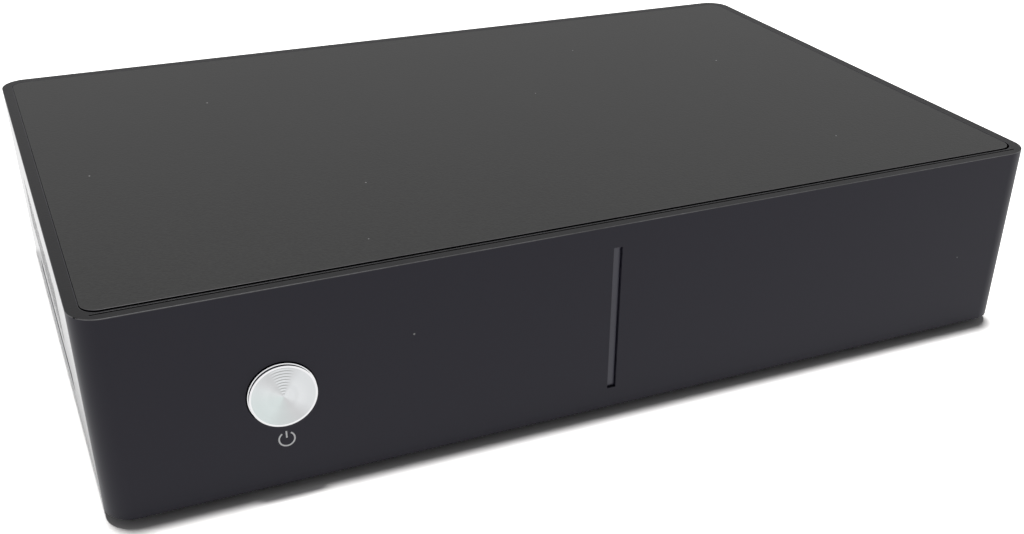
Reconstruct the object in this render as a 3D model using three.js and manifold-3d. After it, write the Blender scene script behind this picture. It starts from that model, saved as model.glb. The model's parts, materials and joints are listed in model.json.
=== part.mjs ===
// Satellite television receiver: a low black box that stands on a shelf.
// Millimetres, +Z up, +X to the right as seen from the front, the front faces -Y.
// The origin lies on the shelf, under the middle of the whole receiver with its button and rear plugs.

import * as THREE from 'three';
import { mergeVertices } from 'three/addons/utils/BufferGeometryUtils.js';
import Module from 'manifold-3d';

const wasm = await Module();
wasm.setup();

// Whole body
const bodyWidth = 200;
const bodyDepth = 130;
const bodyHeight = 40.4;
const cornerRadius = 5.5;
const edgeChamfer = 0.2;

// Shell walls and the rim round the top plate
const shellWall = 2.3;
const rimWidth = 2.35;
const frontRimWidth = 2.7;
const rimGrooveInset = 1.85;
const rimGrooveWidth = 0.25;
const rimGrooveDepth = 0.25;
const rimGrooveEndInset = 3.5;
const ledgeReach = 3.7;
const ledgeThickness = 1.8;
const cornerBossInset = 8;
const cornerBossRadius = 3;

// Top plate
const plateThickness = 1.6;
const plateGap = 0.15;
const frontPlateGap = 0.55;
const plateChamfer = 0.1;

// Base tray
const trayThickness = 2.2;
const trayGap = 0.3;
const standoffHeight = 4;
const standoffRadius = 3;
const floorVentWidth = 2.4;
const floorVentLength = 34;
const floorVentPitch = 6;
const floorVentCount = 9;
const floorVentRowGap = 12;

// Rubber feet
const footHeight = 2;
const footRadius = 6.5;
const footChamfer = 0.5;
const footInset = 22;

// Side vents
const sideVentWidth = 2;
const sideVentHeight = 12;
const sideVentPitch = 5;
const sideVentCount = 12;
const sideVentBottom = 18;

// Screws
const screwHeadRadius = 2.6;
const screwHeadHeight = 1.2;
const screwShankRadius = 1.3;
const screwHoleGap = 0.25;
const screwThreadGap = 0.1;
const screwSinkGap = 0.2;
const screwEndGap = 1;
const baseScrewLength = 8;
const boardScrewLength = 4.8;
const panelScrewLength = 5;
const frontScrewLength = 5;
const recessSpan = 2.6;
const recessWidth = 0.6;
const recessDepth = 0.7;

// Power button
const buttonSideInset = 32.8;
const buttonZ = 19.35;
const buttonRadius = 6.3;
const buttonProud = 1;
const buttonCapDepth = 2.6;
const buttonChamfer = 0.35;
const buttonGap = 0.3;
const buttonTravel = 0.6;
const carrierSpigotRadius = 5.6;
const carrierFlangeRadius = 7.8;
const carrierFlangeDepth = 1.5;
const carrierStemRadius = 2;
const carrierSeatGap = 0.3;
const guideWall = 1.2;
const guideGap = 0.3;
const guideLength = 4;

// Button spring
const springMeanRadius = 5.4;
const springWireRadius = 0.3;
const springEndGap = 0.3;
const springTurns = 4;

// Front board and what it carries
const frontBoardGap = 8.7;
const frontBoardThickness = 1.6;
const frontBoardLift = 6;
const frontBoardDrop = 6.4;
const frontBoardSideReach = 16.8;
const frontBoardEyeReach = 15;
const frontPostRadius = 2.6;
const frontPostInset = 4;
const frontLeftPostDrop = 9.9;
const frontRightPostZ = 20;
const switchSide = 6;
const switchHeight = 3.5;
const plungerRadius = 1.75;
const plungerProud = 1;
const plungerDepth = 1.6;
const plungerGap = 0.15;
const plungerEndGap = 0.3;
const eyeX = 10;
const eyeZ = 20;
const eyeWidth = 5.6;
const eyeHeight = 7;
const eyeDepth = 3;
const eyeLensRadius = 2.2;

// Light slot, its guide and its lamps
const slotX = -0.9;
const slotWidth = 1.85;
const slotBottom = 4.5;
const slotDrop = 4.7;
const slotRecess = 0.65;
const guideSideGap = 0.05;
const guideFlangeWidth = 5;
const guideFlangeLap = 0.7;
const guideFlangeDepth = 1.2;
const guideStubWidth = 2.8;
const guideStubHeight = 4;
const guideStubSpacing = 16;
const lampWidth = 2.8;
const lampHeight = 3.5;
const lampDepth = 1.9;
const lampGap = 0.3;

// Main board
const boardThickness = 1.6;
const boardBackGap = 0.5;
const boardFrontGap = 12.8;
const boardBossGap = 0.5;
const boardHoleInset = 3.5;

// Processor, heat sink and small parts
const processorSide = 21;
const processorHeight = 1.2;
const sinkSide = 40;
const sinkBase = 3;
const sinkFinHeight = 10;
const sinkFinWidth = 1.4;
const sinkFinCount = 9;
const memoryWidth = 9;
const memoryDepth = 13;
const memoryHeight = 1.1;
const flashWidth = 12;
const flashDepth = 18;
const flashHeight = 1.2;
const coilSide = 12;
const coilHeight = 6;
const coilChamfer = 1;
const capacitorRadius = 4;
const capacitorHeight = 12;
const capacitorChamfer = 0.5;
const processorPlaceShare = { x: 0.02, y: -0.18 };
const upperMemoryPlaceShare = { x: -0.17, y: -0.08 };
const lowerMemoryPlaceShare = { x: -0.17, y: -0.27 };
const flashPlaceShare = { x: 0.24, y: -0.2 };
const powerPartGap = 1;

// Smart card reader in the left side
const readerLength = 46;
const readerWidth = 58;
const readerHeight = 5.2;
const readerWallGap = 0.3;
const readerScrewGap = 1;
const readerSlotWidth = 54.8;
const readerSlotHeight = 1.4;
const readerSlotDepth = 40;
const cardMouthLap = 0.9;

// Ribbon between the boards
const ribbonX = -36;
const ribbonWidth = 12;
const ribbonThickness = 0.6;
const ribbonSocketWidth = 15;
const ribbonSocketDepth = 3;
const ribbonSocketHeight = 5;
const ribbonFrontLift = 7;
const ribbonBoardInset = 4;
const ribbonFrontLead = 8;
const ribbonMainLead = 12;

// Rear panel and its window
const panelThickness = 0.8;
const panelSideGap = 0.4;
const windowSideWall = 9;
const windowBottom = 4;
const windowTopWall = 5;
const panelHoleGap = 0.3;
const panelBossWidth = 6;
const panelBossDepth = 6;
const panelScrewDrop = 6.5;
const panelBossDrop = 10.5;

// Rear sockets: each row runs inwards from one side
const rearLeftMargin = 12;
const tunerScrewGap = 0.4;

// Tuners and their aerial connectors
const tunerHeight = 13;
const tunerWall = 0.5;
const tunerSeatGap = 0.3;
const satelliteTunerWidth = 34;
const satelliteTunerDepth = 44;
const cableTunerWidth = 18;
const cableTunerDepth = 38;
const lnbSpacing = 17;
const lnbRadius = 4.7;
const lnbLength = 11;
const lnbHexRadius = 6.3;
const lnbHexDepth = 1.8;
const lnbFaceRadius = 3.4;
const lnbFaceDepth = 0.6;
const lnbPinHoleRadius = 0.6;
const lnbPinHoleDepth = 5;
const aerialRadius = 5.7;
const aerialBoreRadius = 4.8;
const aerialBoreDepth = 8;
const aerialLength = 9.5;
const aerialPinRadius = 1.7;
const aerialPinHoleRadius = 1.2;
const aerialPinShort = 1;

// Digital sockets
const hdmiWidth = 15;
const hdmiHeight = 6;
const hdmiDepth = 11.5;
const hdmiWall = 0.45;
const hdmiCornerCut = 1.6;
const hdmiTongueWidth = 11;
const hdmiTongueHeight = 1.3;
const hdmiTongueShort = 1.5;
const usbWidth = 13.2;
const usbHeight = 15.6;
const usbDepth = 17;
const usbWall = 0.4;
const usbPortWidth = 12.4;
const usbPortHeight = 5.2;
const usbPortSpacing = 7.9;
const usbTongueWidth = 11;
const usbTongueHeight = 1.9;
const usbTongueShort = 1.2;
const usbTongueLap = 0.3;
const insertFit = 0.05;
const insertBack = 2;
const networkWidth = 16;
const networkHeight = 13.5;
const networkDepth = 16;
const networkPortWidth = 11.9;
const networkPortHeight = 8;
const networkPortDepth = 12;
const networkPortLift = 3.2;
const networkLatchWidth = 6;
const networkLatchHeight = 1.6;
const socketProud = 1.1;

// Optical socket and its hinged shutter
const opticalWidth = 9.8;
const opticalHeight = 9.8;
const opticalDepth = 13;
const opticalPortSide = 6.2;
const opticalPortDepth = 9;
const opticalPortLift = 1.8;
const shutterThickness = 0.5;
const shutterGap = 0.2;
const shutterInset = 0.4;
const shutterHingeDrop = 0.55;
const shutterHingeRadius = 0.3;

// Sound and picture jack
const jackWidth = 7;
const jackHeight = 6;
const jackDepth = 12;
const jackCollarRadius = 2.9;
const jackBoreRadius = 1.8;
const jackBoreDepth = 11;

// Power inlet
const inletWidth = 9;
const inletHeight = 11;
const inletDepth = 14;
const inletBoreRadius = 3.2;
const inletBoreDepth = 9.5;
const inletPinRadius = 1.05;
const inletPinShort = 1.2;

// Rear rocker switch
const rockerBezelWidth = 10.5;
const rockerBezelHeight = 17;
const rockerBezelProud = 1.4;
const rockerBodyWidth = 8.6;
const rockerBodyHeight = 14.4;
const rockerBodyDepth = 11;
const rockerLift = 19.6;
const rockerKeyWidth = 6.2;
const rockerKeyRadius = 6;
const rockerKeyGap = 0.3;
const rockerValley = 1.5;
const rockerKeel = 2.4;
const rockerPivotDepth = 1;
const rockerWellDepth = 6;
const rockerTiltDegrees = 8;

// Roundness of curved faces
const shellCornerSteps = 4;
const slabCornerSteps = 2;
const buttonSides = 48;
const turnedSides = 20;
const screwSides = 12;
const holeSides = 16;
const springStepsPerTurn = 8;
const springSides = 5;
const ribbonSteps = 14;
const rockerArcSteps = 4;
const hexSides = 6;
const domeSteps = 4;

// How far a cutting tool runs past the face that it cuts
const overrun = 1;
const smallestRadius = 0.2;

// Places that follow from the sizes above
const frontY = -bodyDepth / 2;
const backY = bodyDepth / 2;
const frontWallY = frontY + shellWall;
const backWallY = backY - shellWall;
const sideWallX = bodyWidth / 2 - shellWall;
const ledgeTop = bodyHeight - plateThickness;
const ledgeBottom = ledgeTop - ledgeThickness;
const boardBottom = trayThickness + standoffHeight;
const boardTop = boardBottom + boardThickness;
const panelInnerY = backWallY - panelThickness;
const bossX = bodyWidth / 2 - cornerBossInset;
const bossY = bodyDepth / 2 - cornerBossInset;
const buttonX = buttonSideInset - bodyWidth / 2;
const frontBoardLeft = buttonX - frontBoardSideReach;
const frontBoardRight = eyeX + frontBoardEyeReach;
const frontBoardHeight = bodyHeight - frontBoardDrop - frontBoardLift;
const frontBoardY = frontWallY + frontBoardGap;
const frontBoardBackY = frontBoardY + frontBoardThickness;
const slotHeight = bodyHeight - slotDrop - slotBottom;
const boardWidth = 2 * (bossX - cornerBossRadius - boardBossGap);
const boardFrontY = frontBoardBackY + boardFrontGap;
const boardBackY = panelInnerY - boardBackGap;
const boardDepth = boardBackY - boardFrontY;
const boardMiddleY = (boardBackY + boardFrontY) / 2;
const standoffX = boardWidth / 2 - boardHoleInset;
const standoffHalfY = boardDepth / 2 - boardHoleInset;
const footX = bodyWidth / 2 - footInset;
const footY = bodyDepth / 2 - footInset;
const tunerBackY = panelInnerY - tunerSeatGap;
const socketFaceY = backWallY + socketProud;
const rearReach = tunerBackY + lnbLength + panelThickness - backY;
const bodyShiftY = (buttonProud - rearReach) / 2;

// Colours
const shellColour = 0x333038;
const plateColour = 0x4c4b49;
const trayColour = 0x2c2b2d;
const panelColour = 0x2a2a2c;
const rubberColour = 0x1c1b1b;
const steelColour = 0x8d8f92;
const aluminiumColour = 0xd9dbdc;
const laminateColour = 0x1f4a33;
const chipColour = 0x1d1d1f;
const socketColour = 0x18181a;
const guideColour = 0x55555a;
const lampColour = 0xdfe6f0;
const tinColour = 0xa9abad;
const creamColour = 0xd8d4c6;

const receiver = new THREE.Group();
const body = new THREE.Group();
body.position.set(0, bodyShiftY, footHeight);
receiver.add(body);

// Helpers for closed shapes

function signedVolume(position, index) {
  const a = new THREE.Vector3();
  const b = new THREE.Vector3();
  const c = new THREE.Vector3();
  let sum = 0;
  for (let corner = 0; corner < index.length; corner += 3) {
    a.fromBufferAttribute(position, index[corner]);
    b.fromBufferAttribute(position, index[corner + 1]);
    c.fromBufferAttribute(position, index[corner + 2]);
    sum += a.dot(b.cross(c));
  }
  return sum;
}

// A solid from any closed geometry, with its faces turned outwards
function solidOf(geometry) {
  const plain = geometry.clone();
  plain.deleteAttribute('normal');
  plain.deleteAttribute('uv');
  const merged = mergeVertices(plain);
  const index = Uint32Array.from(merged.index.array);
  if (signedVolume(merged.attributes.position, index) < 0) {
    for (let corner = 0; corner < index.length; corner += 3) {
      [index[corner], index[corner + 1]] = [index[corner + 1], index[corner]];
    }
  }
  const vertices = Float32Array.from(merged.attributes.position.array);
  return new wasm.Manifold(new wasm.Mesh({ numProp: 3, vertProperties: vertices, triVerts: index }));
}

function geometryOf(solid) {
  const mesh = solid.getMesh();
  const geometry = new THREE.BufferGeometry();
  geometry.setAttribute('position', new THREE.BufferAttribute(Float32Array.from(mesh.vertProperties), 3));
  geometry.setIndex(new THREE.BufferAttribute(Uint32Array.from(mesh.triVerts), 1));
  geometry.computeVertexNormals();
  return geometry;
}

function join(...geometries) {
  const solids = geometries.map(solidOf);
  return geometryOf(solids.reduce((sum, solid) => sum.add(solid)));
}

function cut(base, ...tools) {
  const solids = tools.map(solidOf);
  return geometryOf(solids.reduce((left, tool) => left.subtract(tool), solidOf(base)));
}

// A box between two values on each axis
function block(x0, x1, y0, y1, z0, z1) {
  const box = new THREE.BoxGeometry(x1 - x0, y1 - y0, z1 - z0);
  return box.translate((x0 + x1) / 2, (y0 + y1) / 2, (z0 + z1) / 2);
}

// A box that stands on z, centred on x and y
function standing(x, y, z, width, depth, height) {
  return block(x - width / 2, x + width / 2, y - depth / 2, y + depth / 2, z, z + height);
}

function roundedOutline(width, depth, radius) {
  const r = Math.max(radius, smallestRadius);
  const right = width / 2 - r;
  const back = depth / 2 - r;
  const outline = new THREE.Shape();
  outline.absarc(right, -back, r, -Math.PI / 2, 0);
  outline.absarc(right, back, r, 0, Math.PI / 2);
  outline.absarc(-right, back, r, Math.PI / 2, Math.PI);
  outline.absarc(-right, -back, r, Math.PI, Math.PI * 1.5);
  return outline;
}

// A slab with rounded corners in plan, and a chamfer on its top and bottom edges
function roundedSlab(width, depth, radius, z0, z1, chamfer = 0, steps = slabCornerSteps) {
  const slab = new THREE.ExtrudeGeometry(roundedOutline(width, depth, radius), {
    depth: z1 - z0 - 2 * chamfer,
    bevelEnabled: chamfer > 0,
    bevelThickness: chamfer,
    bevelSize: chamfer,
    bevelOffset: -chamfer,
    bevelSegments: 1,
    curveSegments: steps,
  });
  return slab.translate(0, 0, z0 + chamfer);
}

// The body's outline, drawn in by the same amount all round unless the front has an inset of its own
function insetSlab(inset, z0, z1, chamfer = 0, frontInset = inset) {
  const width = bodyWidth - 2 * inset;
  const depth = bodyDepth - inset - frontInset;
  const slab = roundedSlab(width, depth, cornerRadius - inset, z0, z1, chamfer, shellCornerSteps);
  return slab.translate(0, (frontInset - inset) / 2, 0);
}

// A turned piece on the Y axis, from [radius, y] pairs that start and end on the axis
function turned(pairs, sides = turnedSides) {
  return new THREE.LatheGeometry(pairs.map(([radius, y]) => new THREE.Vector2(radius, y)), sides);
}

function alongY(radius, y0, y1, sides = holeSides) {
  return turned([[0, y0], [radius, y0], [radius, y1], [0, y1]], sides);
}

function alongZ(radius, z0, z1, sides = holeSides) {
  return alongY(radius, z0, z1, sides).rotateX(Math.PI / 2);
}

// An outline of [y, z] pairs, extruded along X and centred on it
function prismAlongX(pairs, width) {
  const outline = new THREE.Shape(pairs.map(([y, z]) => new THREE.Vector2(y, z)));
  const prism = new THREE.ExtrudeGeometry(outline, { depth: width, bevelEnabled: false });
  prism.translate(0, 0, -width / 2);
  prism.rotateX(Math.PI / 2);
  return prism.rotateZ(Math.PI / 2);
}

function add(name, geometry, colour, roughness, metalness, x = 0, y = 0, z = 0) {
  const material = new THREE.MeshStandardMaterial({ color: colour, roughness, metalness });
  const mesh = new THREE.Mesh(geometry, material);
  mesh.name = name;
  mesh.position.set(x, y, z);
  body.add(mesh);
  return mesh;
}

const bothSides = [-1, 1];
const fourCorners = [[-1, -1], [1, -1], [-1, 1], [1, 1]];
const cornerNames = ['front_left', 'front_right', 'rear_left', 'rear_right'];

// Rear row: the sockets stand at even gaps between the left margin and the board's right-hand screw
const rearWidths = [
  rockerBezelWidth, inletWidth, jackWidth, opticalWidth, networkWidth,
  usbWidth, hdmiWidth, cableTunerWidth, satelliteTunerWidth,
];
const rearRowLeft = rearLeftMargin - bodyWidth / 2;
const rearRowRight = standoffX - screwHeadRadius - tunerScrewGap;
const rearFilled = rearWidths.reduce((sum, width) => sum + width);
const rearGap = (rearRowRight - rearRowLeft - rearFilled) / (rearWidths.length - 1);

function rearPlaces() {
  let left = rearRowLeft;
  return rearWidths.map((width) => {
    const middle = left + width / 2;
    left += width + rearGap;
    return middle;
  });
}
const [
  rockerX, inletX, jackX, opticalX, networkX, usbX, hdmiX, cableTunerX, satelliteTunerX,
] = rearPlaces();
const lnbPlaces = bothSides.map((side) => satelliteTunerX + (side * lnbSpacing) / 2);
const tunerAxisZ = boardTop + tunerHeight / 2;
const panelScrewPlaces = [jackX, hdmiX];
const panelScrewZ = ledgeBottom - panelScrewDrop;

// Posts of the front board
const frontPostPlaces = [
  [frontBoardLeft + frontPostInset, bodyHeight - frontLeftPostDrop],
  [frontBoardRight - frontPostInset, frontRightPostZ],
];

// Card slot, at the same height and depth in the reader and in the side wall
const readerSlotZ = boardTop + readerHeight / 2;
const readerFrontY = boardFrontY + boardHoleInset + screwHeadRadius + readerScrewGap;
const readerMiddleY = readerFrontY + readerWidth / 2;
const readerLeft = readerWallGap - sideWallX;

function shellBlank() {
  const outside = insetSlab(0, 0, bodyHeight, edgeChamfer);
  const room = insetSlab(shellWall, -overrun, ledgeBottom);
  const topOpening = insetSlab(shellWall + ledgeReach, 0, bodyHeight + overrun);
  const platePocket = insetSlab(rimWidth, ledgeTop, bodyHeight + overrun, 0, frontRimWidth);
  return cut(outside, room, topOpening, platePocket);
}

// A fine groove along the front rim, from corner to corner
function rimGroove() {
  const grooveEndX = bodyWidth / 2 - rimGrooveEndInset;
  const grooveFrontY = frontY + rimGrooveInset;
  return block(-grooveEndX, grooveEndX, grooveFrontY, grooveFrontY + rimGrooveWidth,
    bodyHeight - rimGrooveDepth, bodyHeight + overrun);
}

function shellBosses() {
  const wallHalf = shellWall / 2;
  const ledgeMiddle = ledgeBottom + ledgeThickness / 2;
  const corners = fourCorners.map(([sideX, sideY]) => (
    alongZ(cornerBossRadius, trayThickness, ledgeMiddle).translate(sideX * bossX, sideY * bossY, 0)
  ));
  const guideRadius = carrierFlangeRadius + guideGap + guideWall;
  const guide = alongY(guideRadius, frontWallY - wallHalf, frontWallY + guideLength);
  const posts = frontPostPlaces.map(([x, z]) => (
    alongY(frontPostRadius, frontWallY - wallHalf, frontBoardY).translate(x, 0, z)
  ));
  const panelBosses = panelScrewPlaces.map((x) => (
    block(x - panelBossWidth / 2, x + panelBossWidth / 2,
      panelInnerY - panelBossDepth, panelInnerY, ledgeBottom - panelBossDrop, ledgeMiddle)
  ));
  return [...corners, guide.translate(buttonX, 0, buttonZ), ...posts, ...panelBosses];
}

function shellCuts() {
  const threadRadius = screwShankRadius + screwThreadGap;
  const baseBore = baseScrewLength + screwEndGap;
  const cornerBores = fourCorners.map(([sideX, sideY]) => (
    alongZ(threadRadius, 0, baseBore, screwSides).translate(sideX * bossX, sideY * bossY, 0)
  ));
  const postBores = frontPostPlaces.map(([x, z]) => (
    alongY(threadRadius, frontBoardBackY - frontScrewLength - screwEndGap, frontBoardY + overrun, screwSides)
      .translate(x, 0, z)
  ));
  const panelBores = panelScrewPlaces.map((x) => (
    alongY(threadRadius, backWallY - panelScrewLength - screwEndGap / 2, panelInnerY + overrun, screwSides)
      .translate(x, 0, panelScrewZ)
  ));
  const buttonHole = alongY(buttonRadius + buttonGap, frontY - overrun, frontWallY + overrun, buttonSides);
  const guideBore = alongY(carrierFlangeRadius + guideGap, frontWallY, frontWallY + guideLength + overrun);
  const slot = block(slotX - slotWidth / 2, slotX + slotWidth / 2,
    frontY - overrun, frontWallY + overrun, slotBottom, slotBottom + slotHeight);
  const rearWindow = block(-bodyWidth / 2 + windowSideWall, bodyWidth / 2 - windowSideWall,
    backWallY - overrun, backY + overrun, windowBottom, bodyHeight - windowTopWall);
  const mouthHalf = readerSlotWidth / 2 + cardMouthLap;
  const mouthHalfHeight = readerSlotHeight / 2 + cardMouthLap;
  const cardMouth = block(-bodyWidth / 2 - overrun, -sideWallX + overrun,
    readerMiddleY - mouthHalf, readerMiddleY + mouthHalf,
    readerSlotZ - mouthHalfHeight, readerSlotZ + mouthHalfHeight);
  return [
    ...cornerBores, ...postBores, ...panelBores,
    buttonHole.translate(buttonX, 0, buttonZ), guideBore.translate(buttonX, 0, buttonZ),
    slot, rearWindow, cardMouth, ...sideVents(),
  ];
}

function sideVents() {
  const vents = [];
  for (const side of bothSides) {
    for (let step = 0; step < sideVentCount; step += 1) {
      const y = (step - (sideVentCount - 1) / 2) * sideVentPitch;
      const x = side * (bodyWidth / 2 - shellWall / 2);
      vents.push(standing(x, y, sideVentBottom, shellWall + 2 * overrun, sideVentWidth, sideVentHeight));
    }
  }
  return vents;
}

const shell = cut(join(shellBlank(), ...shellBosses()), rimGroove(), ...shellCuts());
add('housing_shell', shell, shellColour, 0.42, 0);

const plateFrontInset = frontRimWidth + frontPlateGap;
const plate = insetSlab(rimWidth + plateGap, ledgeTop, bodyHeight, plateChamfer, plateFrontInset);
add('top_plate', plate, plateColour, 0.6, 0.1);

// Base tray: floor with vents, standoffs for the board and sunk holes for the base screws
function baseTray() {
  const floor = insetSlab(shellWall + trayGap, 0, trayThickness);
  const standoffs = fourCorners.map(([sideX, sideY]) => (
    alongZ(standoffRadius, trayThickness / 2, boardBottom)
      .translate(sideX * standoffX, boardMiddleY + sideY * standoffHalfY, 0)
  ));
  const boardBores = fourCorners.map(([sideX, sideY]) => (
    alongZ(screwShankRadius + screwThreadGap, -overrun, boardBottom + overrun, screwSides)
      .translate(sideX * standoffX, boardMiddleY + sideY * standoffHalfY, 0)
  ));
  const sinks = fourCorners.flatMap(([sideX, sideY]) => [
    alongZ(screwShankRadius + screwHoleGap, -overrun, trayThickness + overrun, screwSides)
      .translate(sideX * bossX, sideY * bossY, 0),
    alongZ(screwHeadRadius + screwHoleGap, -overrun, screwHeadHeight + screwSinkGap)
      .translate(sideX * bossX, sideY * bossY, 0),
  ]);
  const vents = [];
  for (const side of bothSides) {
    for (let step = 0; step < floorVentCount; step += 1) {
      const x = (step - (floorVentCount - 1) / 2) * floorVentPitch;
      const y = side * (floorVentLength + floorVentRowGap) / 2;
      vents.push(standing(x, y, -overrun, floorVentWidth, floorVentLength, trayThickness + 2 * overrun));
    }
  }
  return cut(join(floor, ...standoffs), ...boardBores, ...sinks, ...vents);
}
add('base_tray', baseTray(), trayColour, 0.55, 0);

// Feet: rubber discs stuck under the tray
fourCorners.forEach(([sideX, sideY], corner) => {
  const foot = turned([
    [0, -footHeight],
    [footRadius - footChamfer, -footHeight],
    [footRadius, footChamfer - footHeight],
    [footRadius, 0],
    [0, 0],
  ]);
  add(`foot_${cornerNames[corner]}`, foot.rotateX(Math.PI / 2), rubberColour, 0.9, 0,
    sideX * footX, sideY * footY, 0);
});

// A screw on the Y axis: the head lies above y = 0 and the shank below
function screw(length) {
  const blank = turned([
    [0, -length],
    [screwShankRadius, -length],
    [screwShankRadius, 0],
    [screwHeadRadius, 0],
    [screwHeadRadius, screwHeadHeight],
    [0, screwHeadHeight],
  ], screwSides);
  const bottom = screwHeadHeight - recessDepth;
  const top = screwHeadHeight + overrun;
  const arm = block(-recessSpan / 2, recessSpan / 2, bottom, top, -recessWidth / 2, recessWidth / 2);
  const crossArm = block(-recessWidth / 2, recessWidth / 2, bottom, top, -recessSpan / 2, recessSpan / 2);
  return cut(blank, arm, crossArm);
}

fourCorners.forEach(([sideX, sideY], corner) => {
  const sunk = screw(baseScrewLength - screwHeadHeight).rotateX(-Math.PI / 2);
  add(`base_screw_${cornerNames[corner]}`, sunk, steelColour, 0.4, 0.9,
    sideX * bossX, sideY * bossY, screwHeadHeight + screwSinkGap);
});

// Main board on its standoffs
function boardPlace(share) {
  return [share.x * boardWidth, boardMiddleY + share.y * boardDepth];
}

const boardBlank = standing(0, boardMiddleY, boardBottom, boardWidth, boardDepth, boardThickness);
const boardHoles = fourCorners.map(([sideX, sideY]) => (
  alongZ(screwShankRadius + screwHoleGap, boardBottom - overrun, boardTop + overrun, screwSides)
    .translate(sideX * standoffX, boardMiddleY + sideY * standoffHalfY, 0)
));
add('main_board', cut(boardBlank, ...boardHoles), laminateColour, 0.5, 0);

fourCorners.forEach(([sideX, sideY], corner) => {
  const upright = screw(boardScrewLength).rotateX(Math.PI / 2);
  add(`board_screw_${cornerNames[corner]}`, upright, steelColour, 0.4, 0.9,
    sideX * standoffX, boardMiddleY + sideY * standoffHalfY, boardTop);
});

// Processor, memory and flash
function addChip(name, share, width, depth, height) {
  const [x, y] = boardPlace(share);
  add(name, standing(0, 0, 0, width, depth, height), chipColour, 0.5, 0, x, y, boardTop);
}
addChip('processor', processorPlaceShare, processorSide, processorSide, processorHeight);
addChip('memory_chip_upper', upperMemoryPlaceShare, memoryWidth, memoryDepth, memoryHeight);
addChip('memory_chip_lower', lowerMemoryPlaceShare, memoryWidth, memoryDepth, memoryHeight);
addChip('flash_chip', flashPlaceShare, flashWidth, flashDepth, flashHeight);

// Heat sink: a comb of fins on a base that sits on the processor
function heatSink() {
  const base = standing(0, 0, 0, sinkSide, sinkSide, sinkBase);
  const fins = [];
  const finPitch = (sinkSide - sinkFinWidth) / (sinkFinCount - 1);
  for (let step = 0; step < sinkFinCount; step += 1) {
    const x = step * finPitch - (sinkSide - sinkFinWidth) / 2;
    fins.push(standing(x, 0, sinkBase / 2, sinkFinWidth, sinkSide, sinkBase / 2 + sinkFinHeight));
  }
  return join(base, ...fins);
}
const [sinkX, sinkY] = boardPlace(processorPlaceShare);
add('heat_sink', heatSink(), aluminiumColour, 0.5, 0.9, sinkX, sinkY, boardTop + processorHeight);

// Power parts, between the card reader and the rear sockets
const capacitorX = readerLeft + readerLength + powerPartGap + capacitorRadius;
const rearCapacitorY = socketFaceY - networkDepth - powerPartGap - capacitorRadius;
const frontCapacitorY = rearCapacitorY - powerPartGap - 2 * capacitorRadius;
const coilX = capacitorX + capacitorRadius + powerPartGap + coilSide / 2;
const coilY = socketFaceY - networkDepth - powerPartGap - coilSide / 2;
const coil = roundedSlab(coilSide, coilSide, coilChamfer, 0, coilHeight);
add('power_coil', coil, chipColour, 0.7, 0, coilX, coilY, boardTop);

function addCapacitor(name, y) {
  const can = turned([
    [0, 0],
    [capacitorRadius, 0],
    [capacitorRadius, capacitorHeight - capacitorChamfer],
    [capacitorRadius - capacitorChamfer, capacitorHeight],
    [0, capacitorHeight],
  ]);
  add(name, can.rotateX(Math.PI / 2), tinColour, 0.35, 0.8, capacitorX, y, boardTop);
}
addCapacitor('capacitor_front', frontCapacitorY);
addCapacitor('capacitor_rear', rearCapacitorY);

// Smart card reader: its slot opens through the left side wall
function cardReader() {
  const housing = block(readerLeft, readerLeft + readerLength, readerFrontY, readerFrontY + readerWidth,
    boardTop, boardTop + readerHeight);
  const slot = block(readerLeft - overrun, readerLeft + readerSlotDepth,
    readerMiddleY - readerSlotWidth / 2, readerMiddleY + readerSlotWidth / 2,
    readerSlotZ - readerSlotHeight / 2, readerSlotZ + readerSlotHeight / 2);
  return cut(housing, slot);
}
add('card_reader', cardReader(), tinColour, 0.4, 0.7);

// Front board: it stands behind the front wall on two posts
const frontBoardMiddleX = (frontBoardLeft + frontBoardRight) / 2;
const frontBoardWidth = frontBoardRight - frontBoardLeft;
const frontBoardBlank = standing(frontBoardMiddleX, (frontBoardY + frontBoardBackY) / 2, frontBoardLift,
  frontBoardWidth, frontBoardThickness, frontBoardHeight);
const frontBoardHoles = frontPostPlaces.map(([x, z]) => (
  alongY(screwShankRadius + screwHoleGap, frontBoardY - overrun, frontBoardBackY + overrun, screwSides)
    .translate(x, 0, z)
));
add('front_board', cut(frontBoardBlank, ...frontBoardHoles), laminateColour, 0.5, 0);

const frontScrewNames = ['front_board_screw_left', 'front_board_screw_right'];
frontPostPlaces.forEach(([x, z], place) => {
  add(frontScrewNames[place], screw(frontScrewLength), steelColour, 0.4, 0.9, x, frontBoardBackY, z);
});

// Power button: aluminium cap on a plastic carrier, pushed out by a spring
const buttonFaceY = frontY - buttonProud;
const capBackY = buttonFaceY + buttonCapDepth;
const flangeFrontY = frontWallY + carrierSeatGap;
const flangeBackY = flangeFrontY + carrierFlangeDepth;
const plungerTipY = frontBoardY - switchHeight - plungerProud;

const buttonCap = turned([
  [0, buttonFaceY],
  [buttonRadius - buttonChamfer, buttonFaceY],
  [buttonRadius, buttonFaceY + buttonChamfer],
  [buttonRadius, capBackY],
  [0, capBackY],
], buttonSides);
add('power_button_cap', buttonCap, aluminiumColour, 0.25, 1, buttonX, 0, buttonZ);

const buttonCarrier = turned([
  [0, capBackY],
  [carrierSpigotRadius, capBackY],
  [carrierSpigotRadius, flangeFrontY],
  [carrierFlangeRadius, flangeFrontY],
  [carrierFlangeRadius, flangeBackY],
  [carrierStemRadius, flangeBackY],
  [carrierStemRadius, plungerTipY],
  [0, plungerTipY],
]);
add('power_button_carrier', buttonCarrier, socketColour, 0.6, 0, buttonX, 0, buttonZ);

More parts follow.
